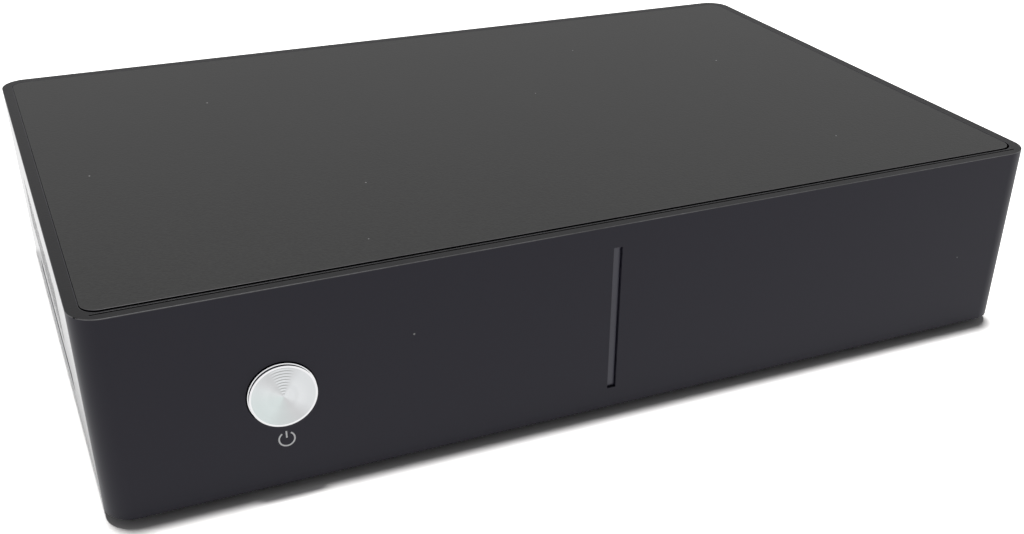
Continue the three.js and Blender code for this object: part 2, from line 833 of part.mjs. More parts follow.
// One unbroken coil round the Y axis, between the carrier's flange and the front board
function coilSpring(y0, y1) {
  const steps = springTurns * springStepsPerTurn;
  const climb = y1 - y0 - 2 * springWireRadius;
  const position = [];
  const index = [];
  for (let step = 0; step <= steps; step += 1) {
    const angle = (2 * Math.PI * step) / springStepsPerTurn;
    const y = y0 + springWireRadius + (climb * step) / steps;
    for (let side = 0; side < springSides; side += 1) {
      const turn = (2 * Math.PI * side) / springSides;
      const radius = springMeanRadius + springWireRadius * Math.cos(turn);
      const ringY = y + springWireRadius * Math.sin(turn);
      position.push(radius * Math.cos(angle), ringY, radius * Math.sin(angle));
    }
  }
  for (let step = 0; step < steps; step += 1) {
    for (let side = 0; side < springSides; side += 1) {
      const a = step * springSides + side;
      const b = step * springSides + ((side + 1) % springSides);
      index.push(a, b, a + springSides, b, b + springSides, a + springSides);
    }
  }
  for (let side = 1; side < springSides - 1; side += 1) {
    const last = steps * springSides;
    index.push(0, side + 1, side, last, last + side, last + side + 1);
  }
  const geometry = new THREE.BufferGeometry();
  geometry.setAttribute('position', new THREE.Float32BufferAttribute(position, 3));
  geometry.setIndex(index);
  return geometryOf(solidOf(geometry));
}
const springFrontY = flangeBackY + springEndGap;
const springBackY = frontBoardY - springEndGap;
add('power_button_spring', coilSpring(springFrontY, springBackY), steelColour, 0.3, 1, buttonX, 0, buttonZ);

// Key switch behind the button, with its own small plunger
function switchBody() {
  const housing = block(-switchSide / 2, switchSide / 2, frontBoardY - switchHeight, frontBoardY,
    -switchSide / 2, switchSide / 2);
  const boreEndY = frontBoardY - switchHeight + plungerDepth + buttonTravel + plungerEndGap;
  return cut(housing, alongY(plungerRadius + plungerGap, frontBoardY - switchHeight - overrun, boreEndY));
}
add('key_switch_body', switchBody(), chipColour, 0.5, 0, buttonX, 0, buttonZ);
const plunger = alongY(plungerRadius, plungerTipY, plungerTipY + plungerProud + plungerDepth);
add('key_switch_plunger', plunger, socketColour, 0.5, 0, buttonX, 0, buttonZ);

// Light guide in the slot, and the two lamps behind it
const slotMiddleZ = slotBottom + slotHeight / 2;
const guideFlangeBackY = frontWallY + guideFlangeDepth;
const stubEndY = frontBoardY - lampDepth - lampGap;
const stubHeights = bothSides.map((side) => slotMiddleZ + (side * guideStubSpacing) / 2);
const guideBar = block(slotX - slotWidth / 2 + guideSideGap, slotX + slotWidth / 2 - guideSideGap,
  frontY + slotRecess, frontWallY + guideFlangeDepth / 2,
  slotBottom + guideSideGap, slotBottom + slotHeight - guideSideGap);
const guideFlange = block(slotX - guideFlangeWidth / 2, slotX + guideFlangeWidth / 2,
  frontWallY, guideFlangeBackY, slotBottom - guideFlangeLap, slotBottom + slotHeight + guideFlangeLap);
const guideStubs = stubHeights.map((z) => (
  block(slotX - guideStubWidth / 2, slotX + guideStubWidth / 2, frontWallY + guideFlangeDepth / 2, stubEndY,
    z - guideStubHeight / 2, z + guideStubHeight / 2)
));
add('light_guide', join(guideBar, guideFlange, ...guideStubs), guideColour, 0.35, 0);

const lampNames = ['status_lamp_lower', 'status_lamp_upper'];
stubHeights.forEach((z, place) => {
  const lamp = block(slotX - lampWidth / 2, slotX + lampWidth / 2, frontBoardY - lampDepth, frontBoardY,
    z - lampHeight / 2, z + lampHeight / 2);
  add(lampNames[place], lamp, lampColour, 0.3, 0);
});

// Remote control eye with its domed lens
function remoteEye() {
  const housing = block(-eyeWidth / 2, eyeWidth / 2, frontBoardY - eyeDepth, frontBoardY,
    -eyeHeight / 2, eyeHeight / 2);
  const profile = [[0, frontBoardY - eyeDepth / 2], [eyeLensRadius, frontBoardY - eyeDepth / 2]];
  for (let step = 0; step <= domeSteps; step += 1) {
    const angle = (Math.PI / 2) * (step / domeSteps);
    const radius = step === domeSteps ? 0 : eyeLensRadius * Math.cos(angle);
    profile.push([radius, frontBoardY - eyeDepth - eyeLensRadius * Math.sin(angle)]);
  }
  return join(housing, turned(profile));
}
add('remote_eye', remoteEye(), chipColour, 0.25, 0, eyeX, 0, eyeZ);

// Ribbon from the front board down to the main board, plugged in at both ends
const ribbonFrontZ = frontBoardLift + ribbonFrontLift;
const frontSocketBackY = frontBoardBackY + ribbonSocketDepth;
const mainSocketY = boardFrontY + ribbonBoardInset;
const mainSocketTop = boardTop + ribbonSocketHeight;
const frontRibbonSocket = block(ribbonX - ribbonSocketWidth / 2, ribbonX + ribbonSocketWidth / 2,
  frontBoardBackY, frontSocketBackY,
  ribbonFrontZ - ribbonSocketHeight / 2, ribbonFrontZ + ribbonSocketHeight / 2);
add('ribbon_socket_front', frontRibbonSocket, creamColour, 0.5, 0);
const mainRibbonSocket = standing(ribbonX, mainSocketY, boardTop,
  ribbonSocketWidth, ribbonSocketDepth, ribbonSocketHeight);
add('ribbon_socket_main', mainRibbonSocket, creamColour, 0.5, 0);

function ribbon() {
  const path = new THREE.CubicBezierCurve(
    new THREE.Vector2(frontSocketBackY, ribbonFrontZ),
    new THREE.Vector2(frontSocketBackY + ribbonFrontLead, ribbonFrontZ),
    new THREE.Vector2(mainSocketY, mainSocketTop + ribbonMainLead),
    new THREE.Vector2(mainSocketY, mainSocketTop),
  );
  const upper = [];
  const lower = [];
  for (let step = 0; step <= ribbonSteps; step += 1) {
    const point = path.getPoint(step / ribbonSteps);
    const tangent = path.getTangent(step / ribbonSteps);
    const half = ribbonThickness / 2;
    upper.push([point.x - tangent.y * half, point.y + tangent.x * half]);
    lower.unshift([point.x + tangent.y * half, point.y - tangent.x * half]);
  }
  return prismAlongX([...upper, ...lower], ribbonWidth);
}
add('front_ribbon', ribbon(), creamColour, 0.6, 0, ribbonX, 0, 0);

// Tuner boxes: folded tin cans soldered to the board
function addTuner(name, x, width, depth) {
  const can = block(x - width / 2, x + width / 2, tunerBackY - depth, tunerBackY,
    boardTop, boardTop + tunerHeight);
  const lidSeam = block(x - width / 2 - overrun, x + width / 2 + overrun, tunerBackY - depth - overrun,
    tunerBackY + overrun, boardTop + tunerHeight - 2 * tunerWall, boardTop + tunerHeight - tunerWall);
  const core = block(x - width / 2 + tunerWall / 2, x + width / 2 - tunerWall / 2,
    tunerBackY - depth + tunerWall / 2, tunerBackY - tunerWall / 2,
    boardTop, boardTop + tunerHeight - tunerWall / 2);
  add(name, join(cut(can, lidSeam), core), tinColour, 0.35, 0.9);
}
addTuner('satellite_tuner', satelliteTunerX, satelliteTunerWidth, satelliteTunerDepth);
addTuner('cable_tuner', cableTunerX, cableTunerWidth, cableTunerDepth);

// Screw-on aerial connectors of the satellite tuner, on the Y axis from the can outwards
function lnbConnector() {
  const tipY = tunerBackY + lnbLength + panelThickness;
  const barrel = turned([
    [0, tunerBackY],
    [lnbRadius, tunerBackY],
    [lnbRadius, tipY],
    [lnbFaceRadius, tipY],
    [lnbFaceRadius, tipY - lnbFaceDepth],
    [lnbPinHoleRadius, tipY - lnbFaceDepth],
    [lnbPinHoleRadius, tipY - lnbPinHoleDepth],
    [0, tipY - lnbPinHoleDepth],
  ]);
  const hex = alongY(lnbHexRadius, backWallY, backWallY + lnbHexDepth, hexSides);
  return join(barrel, hex);
}
const lnbNames = ['lnb_connector_left', 'lnb_connector_right'];
lnbPlaces.forEach((x, place) => {
  add(lnbNames[place], lnbConnector(), tinColour, 0.3, 1, x, 0, tunerAxisZ);
});

// Push-in aerial connector of the cable tuner
function aerialConnector() {
  const tipY = tunerBackY + aerialLength;
  const pinTipY = tipY - aerialPinShort;
  return turned([
    [0, tunerBackY],
    [aerialRadius, tunerBackY],
    [aerialRadius, tipY],
    [aerialBoreRadius, tipY],
    [aerialBoreRadius, tipY - aerialBoreDepth],
    [aerialPinRadius, tipY - aerialBoreDepth],
    [aerialPinRadius, pinTipY],
    [aerialPinHoleRadius, pinTipY],
    [aerialPinHoleRadius, tipY - aerialBoreDepth],
    [0, tipY - aerialBoreDepth],
  ]);
}
add('aerial_connector', aerialConnector(), tinColour, 0.3, 1, cableTunerX, 0, tunerAxisZ);

// High-definition socket: a folded shell with its tongue on an insert
function hdmiShell() {
  const outside = block(hdmiX - hdmiWidth / 2, hdmiX + hdmiWidth / 2, socketFaceY - hdmiDepth, socketFaceY,
    boardTop, boardTop + hdmiHeight);
  const bottom = boardTop + hdmiWall;
  const top = boardTop + hdmiHeight - hdmiWall;
  const half = hdmiWidth / 2 - hdmiWall;
  const outline = new THREE.Shape([
    new THREE.Vector2(-half + hdmiCornerCut, bottom),
    new THREE.Vector2(half - hdmiCornerCut, bottom),
    new THREE.Vector2(half, bottom + hdmiCornerCut),
    new THREE.Vector2(half, top),
    new THREE.Vector2(-half, top),
    new THREE.Vector2(-half, bottom + hdmiCornerCut),
  ]);
  const mouth = new THREE.ExtrudeGeometry(outline, { depth: hdmiDepth + 2 * overrun, bevelEnabled: false });
  mouth.rotateX(Math.PI / 2);
  mouth.translate(hdmiX, socketFaceY + overrun, 0);
  return cut(outside, mouth);
}
add('hdmi_shell', hdmiShell(), tinColour, 0.25, 1);

function hdmiInsert() {
  const backStart = socketFaceY - hdmiDepth;
  const inner = hdmiWall + insertFit;
  const backHalf = hdmiWidth / 2 - inner - hdmiCornerCut;
  const back = block(hdmiX - backHalf, hdmiX + backHalf,
    backStart, backStart + insertBack, boardTop + inner, boardTop + hdmiHeight - inner);
  const middle = boardTop + hdmiHeight / 2;
  const tongue = block(hdmiX - hdmiTongueWidth / 2, hdmiX + hdmiTongueWidth / 2,
    backStart + insertBack / 2, socketFaceY - hdmiTongueShort,
    middle - hdmiTongueHeight / 2, middle + hdmiTongueHeight / 2);
  return join(back, tongue);
}
add('hdmi_insert', hdmiInsert(), socketColour, 0.5, 0);

// Two stacked data sockets in one shell, with both tongues on one insert
const usbMiddleZ = boardTop + usbHeight / 2;
const usbPortHeights = bothSides.map((side) => usbMiddleZ + (side * usbPortSpacing) / 2);

function usbShell() {
  const outside = block(usbX - usbWidth / 2, usbX + usbWidth / 2, socketFaceY - usbDepth, socketFaceY,
    boardTop, boardTop + usbHeight);
  const ports = usbPortHeights.map((z) => (
    block(usbX - usbPortWidth / 2, usbX + usbPortWidth / 2, socketFaceY - usbDepth - overrun,
      socketFaceY + overrun, z - usbPortHeight / 2, z + usbPortHeight / 2)
  ));
  const backWell = block(usbX - usbWidth / 2 + usbWall, usbX + usbWidth / 2 - usbWall,
    socketFaceY - usbDepth - overrun, socketFaceY - usbDepth + insertBack,
    boardTop + usbWall, boardTop + usbHeight - usbWall);
  return cut(outside, ...ports, backWell);
}
add('usb_shell', usbShell(), tinColour, 0.25, 1);

function usbInsert() {
  const backStart = socketFaceY - usbDepth;
  const inner = usbWall + insertFit;
  const back = block(usbX - usbWidth / 2 + inner, usbX + usbWidth / 2 - inner,
    backStart, backStart + insertBack - insertFit, boardTop + inner, boardTop + usbHeight - inner);
  const tongues = usbPortHeights.map((z) => {
    const top = z + usbPortHeight / 2 - usbTongueLap;
    return block(usbX - usbTongueWidth / 2, usbX + usbTongueWidth / 2, backStart + insertBack / 2,
      socketFaceY - usbTongueShort, top - usbTongueHeight, top);
  });
  return join(back, ...tongues);
}
add('usb_insert', usbInsert(), creamColour, 0.5, 0);

// Network socket with its latch notch
function networkSocket() {
  const outside = block(networkX - networkWidth / 2, networkX + networkWidth / 2,
    socketFaceY - networkDepth, socketFaceY, boardTop, boardTop + networkHeight);
  const portBottom = boardTop + networkPortLift;
  const port = block(networkX - networkPortWidth / 2, networkX + networkPortWidth / 2,
    socketFaceY - networkPortDepth, socketFaceY + overrun, portBottom, portBottom + networkPortHeight);
  const latch = block(networkX - networkLatchWidth / 2, networkX + networkLatchWidth / 2,
    socketFaceY - networkPortDepth, socketFaceY + overrun,
    portBottom - networkLatchHeight, portBottom + overrun);
  return cut(outside, port, latch);
}
add('network_socket', networkSocket(), tinColour, 0.35, 0.9);

// Optical socket, closed by a shutter that a plug pushes inwards
const opticalPortBottom = boardTop + opticalPortLift;
const opticalPortTop = opticalPortBottom + opticalPortSide;
const shutterY = socketFaceY - shutterInset - shutterThickness / 2;
const shutterHingeZ = opticalPortTop - shutterHingeDrop;

function opticalSocket() {
  const outside = block(opticalX - opticalWidth / 2, opticalX + opticalWidth / 2,
    socketFaceY - opticalDepth, socketFaceY, boardTop, boardTop + opticalHeight);
  const port = block(opticalX - opticalPortSide / 2, opticalX + opticalPortSide / 2,
    socketFaceY - opticalPortDepth, socketFaceY + overrun, opticalPortBottom, opticalPortTop);
  return cut(outside, port);
}
add('optical_socket', opticalSocket(), socketColour, 0.45, 0);

function shutter() {
  const half = opticalPortSide / 2 - shutterGap;
  const leaf = block(-half, half, -shutterThickness / 2, shutterThickness / 2,
    opticalPortBottom + shutterGap - shutterHingeZ, 0);
  const pin = alongY(shutterHingeRadius, -half, half, screwSides).rotateZ(Math.PI / 2);
  return join(leaf, pin);
}
add('optical_shutter', shutter(), chipColour, 0.45, 0, opticalX, shutterY, shutterHingeZ);

// Sound and picture jack
const jackAxisZ = boardTop + jackHeight / 2;
function jackSocket() {
  const housing = block(jackX - jackWidth / 2, jackX + jackWidth / 2, panelInnerY - jackDepth,
    panelInnerY - boardBackGap, boardTop, boardTop + jackHeight);
  const collar = alongY(jackCollarRadius, panelInnerY - jackDepth / 2, socketFaceY)
    .translate(jackX, 0, jackAxisZ);
  const bore = alongY(jackBoreRadius, socketFaceY - jackBoreDepth, socketFaceY + overrun)
    .translate(jackX, 0, jackAxisZ);
  return cut(join(housing, collar), bore);
}
add('picture_sound_jack', jackSocket(), socketColour, 0.45, 0);

// Power inlet: a barrel socket with its centre pin
const inletAxisZ = boardTop + inletHeight / 2;
function powerInlet() {
  const housing = block(inletX - inletWidth / 2, inletX + inletWidth / 2,
    socketFaceY - inletDepth, socketFaceY, boardTop, boardTop + inletHeight);
  const boreEnd = socketFaceY - inletBoreDepth;
  const hollow = turned([
    [0, socketFaceY - inletPinShort],
    [inletPinRadius, socketFaceY - inletPinShort],
    [inletPinRadius, boreEnd],
    [inletBoreRadius, boreEnd],
    [inletBoreRadius, socketFaceY + overrun],
    [0, socketFaceY + overrun],
  ]);
  return cut(housing, hollow.translate(inletX, 0, inletAxisZ));
}
add('power_inlet', powerInlet(), socketColour, 0.45, 0);

// Rear rocker switch: body with a bezel outside the panel, and the rocker on its pivot
const rockerZ = rockerLift;
const rockerWellWidth = rockerKeyWidth + 2 * rockerKeyGap;
const rockerWellHalf = rockerKeyRadius + rockerKeyGap;
const bezelFaceY = backWallY + rockerBezelProud;
const rockerPivotY = bezelFaceY - rockerPivotDepth;

function rockerBody() {
  const bezel = block(-rockerBezelWidth / 2, rockerBezelWidth / 2, backWallY, bezelFaceY,
    -rockerBezelHeight / 2, rockerBezelHeight / 2);
  const box = block(-rockerBodyWidth / 2, rockerBodyWidth / 2, backWallY - rockerBodyDepth,
    backWallY + rockerBezelProud / 2, -rockerBodyHeight / 2, rockerBodyHeight / 2);
  const well = block(-rockerWellWidth / 2, rockerWellWidth / 2, bezelFaceY - rockerWellDepth,
    bezelFaceY + overrun, -rockerWellHalf, rockerWellHalf);
  return cut(join(bezel, box), well);
}
add('rocker_switch_body', rockerBody(), chipColour, 0.5, 0, rockerX, 0, rockerZ);

// The rocker's side view: a shallow valley outside, round ends and a flat keel
function rockerKey() {
  const tilt = THREE.MathUtils.degToRad(rockerTiltDegrees);
  const keelAngle = Math.asin(rockerKeel / rockerKeyRadius);
  const valleyRise = rockerKeyRadius * Math.tan(tilt);
  const tipAngle = Math.asin((rockerValley + valleyRise) / rockerKeyRadius);
  const outline = [[rockerValley, 0]];
  for (let step = 0; step <= rockerArcSteps; step += 1) {
    const angle = tipAngle - (step / rockerArcSteps) * (tipAngle + keelAngle);
    outline.push([rockerKeyRadius * Math.sin(angle), rockerKeyRadius * Math.cos(angle)]);
  }
  for (let step = rockerArcSteps; step >= 0; step -= 1) {
    const angle = tipAngle - (step / rockerArcSteps) * (tipAngle + keelAngle);
    outline.push([rockerKeyRadius * Math.sin(angle), -rockerKeyRadius * Math.cos(angle)]);
  }
  return prismAlongX(outline, rockerKeyWidth);
}
const rocker = add('rocker_switch_key', rockerKey(), chipColour, 0.35, 0, rockerX, rockerPivotY, rockerZ);
rocker.rotation.x = THREE.MathUtils.degToRad(rockerTiltDegrees);

// Rear panel: a steel sheet behind the window, pierced for every socket
function rearPanel() {
  const half = sideWallX - (cornerRadius - shellWall) - panelSideGap;
  const sheet = block(-half, half, panelInnerY, backWallY, trayThickness, ledgeBottom);
  const through = [panelInnerY - overrun, backWallY + overrun];
  const window = (x, width, z0, z1) => (
    block(x - width / 2 - panelHoleGap, x + width / 2 + panelHoleGap, ...through,
      z0 - panelHoleGap, z1 + panelHoleGap)
  );
  const round = (x, z, radius) => alongY(radius + panelHoleGap, ...through).translate(x, 0, z);
  const shankHoles = panelScrewPlaces.map((x) => (
    alongY(screwShankRadius + screwHoleGap, ...through, screwSides).translate(x, 0, panelScrewZ)
  ));
  return cut(sheet,
    window(hdmiX, hdmiWidth, boardTop, boardTop + hdmiHeight),
    window(usbX, usbWidth, boardTop, boardTop + usbHeight),
    window(networkX, networkWidth, boardTop, boardTop + networkHeight),
    window(opticalX, opticalWidth, boardTop, boardTop + opticalHeight),
    window(inletX, inletWidth, boardTop, boardTop + inletHeight),
    window(rockerX, rockerBodyWidth, rockerZ - rockerBodyHeight / 2, rockerZ + rockerBodyHeight / 2),
    round(jackX, jackAxisZ, jackCollarRadius),
    round(cableTunerX, tunerAxisZ, aerialRadius),
    ...lnbPlaces.map((x) => round(x, tunerAxisZ, lnbRadius)),
    ...shankHoles);
}
add('rear_panel', rearPanel(), panelColour, 0.5, 0.4);

const panelScrewNames = ['panel_screw_left', 'panel_screw_right'];
panelScrewPlaces.forEach((x, place) => {
  add(panelScrewNames[place], screw(panelScrewLength), steelColour, 0.4, 0.9, x, backWallY, panelScrewZ);
});

export default receiver;
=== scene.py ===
# %% [markdown]
# A compact satellite tv receiver, dressed for a studio picture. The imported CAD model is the
# skeleton: it says how large every piece is and what moves. Everything made below is skin, which
# sits in the same frame in metres, so a piece is placed by asking the frame where its node is.

# %% Load the frame
import json
import math

import bmesh
import bpy
from mathutils import Matrix, Vector


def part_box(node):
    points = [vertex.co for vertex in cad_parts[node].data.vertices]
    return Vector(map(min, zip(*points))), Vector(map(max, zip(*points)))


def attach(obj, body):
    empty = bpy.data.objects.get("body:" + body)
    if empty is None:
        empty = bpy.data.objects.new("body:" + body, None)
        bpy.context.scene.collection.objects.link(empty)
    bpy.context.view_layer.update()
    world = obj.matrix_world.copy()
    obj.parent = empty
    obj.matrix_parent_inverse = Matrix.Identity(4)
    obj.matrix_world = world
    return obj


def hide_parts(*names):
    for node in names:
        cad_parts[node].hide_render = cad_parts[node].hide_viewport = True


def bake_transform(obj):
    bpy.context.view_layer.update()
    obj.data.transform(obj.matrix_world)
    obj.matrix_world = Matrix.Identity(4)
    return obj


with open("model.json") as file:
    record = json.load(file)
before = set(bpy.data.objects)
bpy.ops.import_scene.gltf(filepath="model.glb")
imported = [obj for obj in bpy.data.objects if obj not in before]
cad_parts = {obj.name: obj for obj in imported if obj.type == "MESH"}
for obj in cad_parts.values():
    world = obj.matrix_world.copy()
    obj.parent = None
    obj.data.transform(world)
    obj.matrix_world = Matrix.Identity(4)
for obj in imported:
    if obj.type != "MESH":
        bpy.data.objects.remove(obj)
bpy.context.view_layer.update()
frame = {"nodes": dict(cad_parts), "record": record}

MM = 0.001
scene = bpy.context.scene

# %% [markdown]
# A node's box is asked for all the time: its corners, its middle, and its faces as matrices whose
# local Z looks out of the face. With such a matrix a socket is drawn as if it lay flat on a table.

# %% Node boxes
UP = Vector((0, 0, 1))
DOWN = Vector((0, 0, -1))
FRONT = Vector((0, -1, 0))
REAR = Vector((0, 1, 0))
LEFT = Vector((-1, 0, 0))
RIGHT = Vector((1, 0, 0))


def facing(direction, place=(0, 0, 0)):
    """A matrix whose local Z axis looks along a direction, with X level and Y as upright as can be."""
    right = UP.cross(direction)
    if right.length < 0.5:
        right = RIGHT
    axes = Matrix((right.normalized(), direction.cross(right).normalized(), direction)).transposed()
    return Matrix.Translation(Vector(place)) @ axes.to_4x4()


class NodeBox:
    def __init__(self, node):
        self.low, self.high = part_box(node)
        self.middle = (self.low + self.high) / 2
        self.size = self.high - self.low

    def face(self, direction, **moved):
        """The matrix of the face on one side; x, y or z can be given to move its middle."""
        place = self.middle.copy()
        for axis, way in enumerate(direction):
            if way:
                place[axis] = self.high[axis] if way > 0 else self.low[axis]
        for axis, value in moved.items():
            setattr(place, axis, value)
        return facing(direction, place)


button = NodeBox("power_button_cap")
button_radius = button.size.x / 2
print("button radius in mm:", round(button_radius / MM, 2))

# %% [markdown]
# The camera stands a little above the box and left of it, as the photographer did, and looks down
# by thirty degrees. Its place came from the box's corners in the picture. A lens shift, and not a
# tilt, moves the box in the frame, so upright edges lean just as much as they do in the picture.

# %% Camera
CAMERA_PLACE = Vector((-105.99, -259.037, 141.156)) * MM
CAMERA_FORWARD = Vector((0.36272, 0.776952, -0.514568)).normalized()
CAMERA_UP = Vector((0.201672, 0.473643, 0.857316)).normalized()
CAMERA_SHIFT = (-0.02629, 0.09783)

camera_data = bpy.data.cameras.new("camera")
camera_data.sensor_width = 36
camera_data.lens = 44.372
camera_data.shift_x, camera_data.shift_y = CAMERA_SHIFT
camera_data.clip_start = 0.005
camera_data.clip_end = 20
camera = bpy.data.objects.new("camera", camera_data)
camera_right = CAMERA_FORWARD.cross(CAMERA_UP).normalized()
camera_axes = Matrix((camera_right, CAMERA_UP, -CAMERA_FORWARD)).transposed()
camera.matrix_world = Matrix.Translation(CAMERA_PLACE) @ camera_axes.to_4x4()
scene.collection.objects.link(camera)
scene.camera = camera
print("camera height in mm:", round(CAMERA_PLACE.z / MM, 1))

# %% [markdown]
# Light and finishes are both made of shader nodes, so the helpers for nodes come first. An input
# takes either a link or a plain value, and one function settles which.

# %% Node helpers
def connect(tree, source, target):
    """Links a socket, or sets a plain number or colour, on another node's input."""
    if isinstance(source, bpy.types.NodeSocket):
        tree.links.new(source, target)
    else:
        target.default_value = source


def add_node(tree, kind, inputs, **settings):
    """Adds a node. Its settings go first, because some of them decide which inputs it has."""
    node = tree.nodes.new("ShaderNode" + kind)
    for label, value in settings.items():
        setattr(node, label, value)
    for label, source in inputs.items():
        connect(tree, source, node.inputs[label])
    return node


def math_node(tree, operation, *values, clamp=False):
    return add_node(tree, "Math", dict(enumerate(values)), operation=operation, use_clamp=clamp).outputs[0]


def span_node(tree, value, low, high, to_low=0.0, to_high=1.0):
    """Maps the range from low to high onto another range, and holds it inside that one."""
    ends = {"Value": value, "From Min": low, "From Max": high, "To Min": to_low, "To Max": to_high}
    return add_node(tree, "MapRange", ends).outputs[0]


def noise_node(tree, place, scale, detail=3.0, roughness=0.55):
    inputs = {"Vector": place, "Scale": scale, "Detail": detail, "Roughness": roughness}
    return add_node(tree, "TexNoise", inputs).outputs["Fac"]


def object_place(tree):
    return add_node(tree, "TexCoord", {}).outputs["Object"]


def show_apart(tree, default_node, shader, kinds, plain, seen, output):
    """Replaces the default shader by two: rays of the named kinds see one, and the rest another."""
    tree.nodes.remove(tree.nodes[default_node])
    path = add_node(tree, "LightPath", {})
    share = path.outputs[f"Is {kinds[0]} Ray"]
    for kind in kinds[1:]:
        share = math_node(tree, "MAXIMUM", share, path.outputs[f"Is {kind} Ray"])
    plain_shader = add_node(tree, shader, plain).outputs[0]
    seen_shader = add_node(tree, shader, seen).outputs[0]
    mix = add_node(tree, "MixShader", {0: share, 1: plain_shader, 2: seen_shader})
    connect(tree, mix.outputs[0], tree.nodes[output].inputs["Surface"])


print("node helpers ready")

# %% [markdown]
# A product shot on white is lit from overhead, so black plastic shows itself mostly by what it
# reflects. One broad sun, a hair behind the box, gives the floor an even level and leaves it dark
# under the box. The room is dim for the light that it gives, and plain white for what a lens or a
# shiny surface sees of it. A Light Path node tells these apart.

# %% Light
SUN_SPREAD_DEGREES = 6.4
SUN_TILT_DEGREES = -3.2
SUN_STRENGTH = 3.0
ROOM_LIGHT = {"Color": (0.98, 0.99, 1.0, 1), "Strength": 0.09}
ROOM_SEEN = {"Color": (1, 1, 1, 1), "Strength": 1.0}

sun_data = bpy.data.lights.new("overhead_sun", "SUN")
sun_data.energy = SUN_STRENGTH
sun_data.angle = math.radians(SUN_SPREAD_DEGREES)
sun = bpy.data.objects.new("overhead_sun", sun_data)
sun.rotation_euler.x = math.radians(SUN_TILT_DEGREES)
scene.collection.objects.link(sun)

world = bpy.data.worlds.new("studio")
world.use_nodes = True
scene.world = world
show_apart(world.node_tree, "Background", "Background", ("Camera", "Glossy", "Transmission"),
           ROOM_LIGHT, ROOM_SEEN, "World Output")
scene.view_settings.view_transform = "Standard"

# %% [markdown]
# The floor is one pale sheet. It is not part of the receiver. To the camera it is paler than to the
# light, which bleaches its far shade and keeps the dark line where the box stands on its feet.

# %% Floor
FLOOR_REACH = 4.0
FLOOR_COLOUR = (0.93, 0.93, 0.93, 1)
FLOOR_SEEN_COLOUR = (1.72, 1.70, 1.68, 1)

floor_mesh = bpy.data.meshes.new("floor")
floor_corners = [(x * FLOOR_REACH, y * FLOOR_REACH, 0) for x, y in ((-1, -1), (1, -1), (1, 1), (-1, 1))]
floor_mesh.from_pydata(floor_corners, [], [(0, 1, 2, 3)])
floor = bpy.data.objects.new("floor", floor_mesh)
scene.collection.objects.link(floor)

floor_paper = bpy.data.materials.new("floor_paper")
floor_paper.use_nodes = True
show_apart(floor_paper.node_tree, "Principled BSDF", "BsdfDiffuse", ("Camera",),
           {"Color": FLOOR_COLOUR}, {"Color": FLOOR_SEEN_COLOUR}, "Material Output")
floor_mesh.materials.append(floor_paper)
print("floor reaches", FLOOR_REACH, "m each way")

# %% [markdown]
# Shared effects are shader node groups. A group is drawn once and used in many materials, each
# with its own numbers, like a stencil. Each one puts out a mask or a height that changes over the
# surface. The shader itself stays in the material, where its plain numbers sit.
#
# Grain is the fine pebbled skin of a moulding or of a sprayed coat: small rounded tops between
# creases, from a Voronoi pattern, and a share of noise, so it is neither too even nor too wild.
# Mottle is for colour, since nothing painted or moulded is quite one colour: a broad noise drifts
# across the part, and a fine one makes specks of a size that the eye just sees.

# %% Grain and mottle groups
def new_group(name, inputs, outputs):
    """A node group with number sockets: the group, what comes into it, and what goes out."""
    group = bpy.data.node_groups.new(name, "ShaderNodeTree")
    for label, value in inputs.items():
        socket = group.interface.new_socket(label, in_out="INPUT", socket_type="NodeSocketFloat")
        socket.default_value = value
    for label in outputs:
        group.interface.new_socket(label, in_out="OUTPUT", socket_type="NodeSocketFloat")
    return group, group.nodes.new("NodeGroupInput").outputs, group.nodes.new("NodeGroupOutput").inputs


def shared_out(tree, share, first, second):
    """The first value in the given share, and the second in what is left."""
    rest = math_node(tree, "SUBTRACT", 1.0, share)
    return math_node(tree, "MULTIPLY_ADD", second, rest, math_node(tree, "MULTIPLY", first, share))


grain, grain_in, grain_out = new_group("grain", {"Scale": 2500.0, "Cells": 0.5}, ["Height"])
grain_place = object_place(grain)
grain_cells = add_node(grain, "TexVoronoi", {"Vector": grain_place, "Scale": grain_in["Scale"],
                                             "Smoothness": 0.6}, feature="SMOOTH_F1")
grain_tops = math_node(grain, "SUBTRACT", 1.0, grain_cells.outputs["Distance"])
grain_noise = noise_node(grain, grain_place, grain_in["Scale"])
connect(grain, shared_out(grain, grain_in["Cells"], grain_tops, grain_noise), grain_out["Height"])

mottle, mottle_in, mottle_out = new_group(
    "mottle", {"Broad Scale": 14.0, "Fine Scale": 3000.0, "Fine Share": 0.5}, ["Mask"])
mottle_place = object_place(mottle)
mottle_broad = noise_node(mottle, mottle_place, mottle_in["Broad Scale"], 2.0)
mottle_fine = noise_node(mottle, mottle_place, mottle_in["Fine Scale"], 2.0, 0.7)
mottle_both = shared_out(mottle, mottle_in["Fine Share"], mottle_fine, mottle_broad)
connect(mottle, span_node(mottle, mottle_both, 0.3, 0.7), mottle_out["Mask"])
print("grain and mottle groups:", len(grain.nodes), "and", len(mottle.nodes), "nodes")
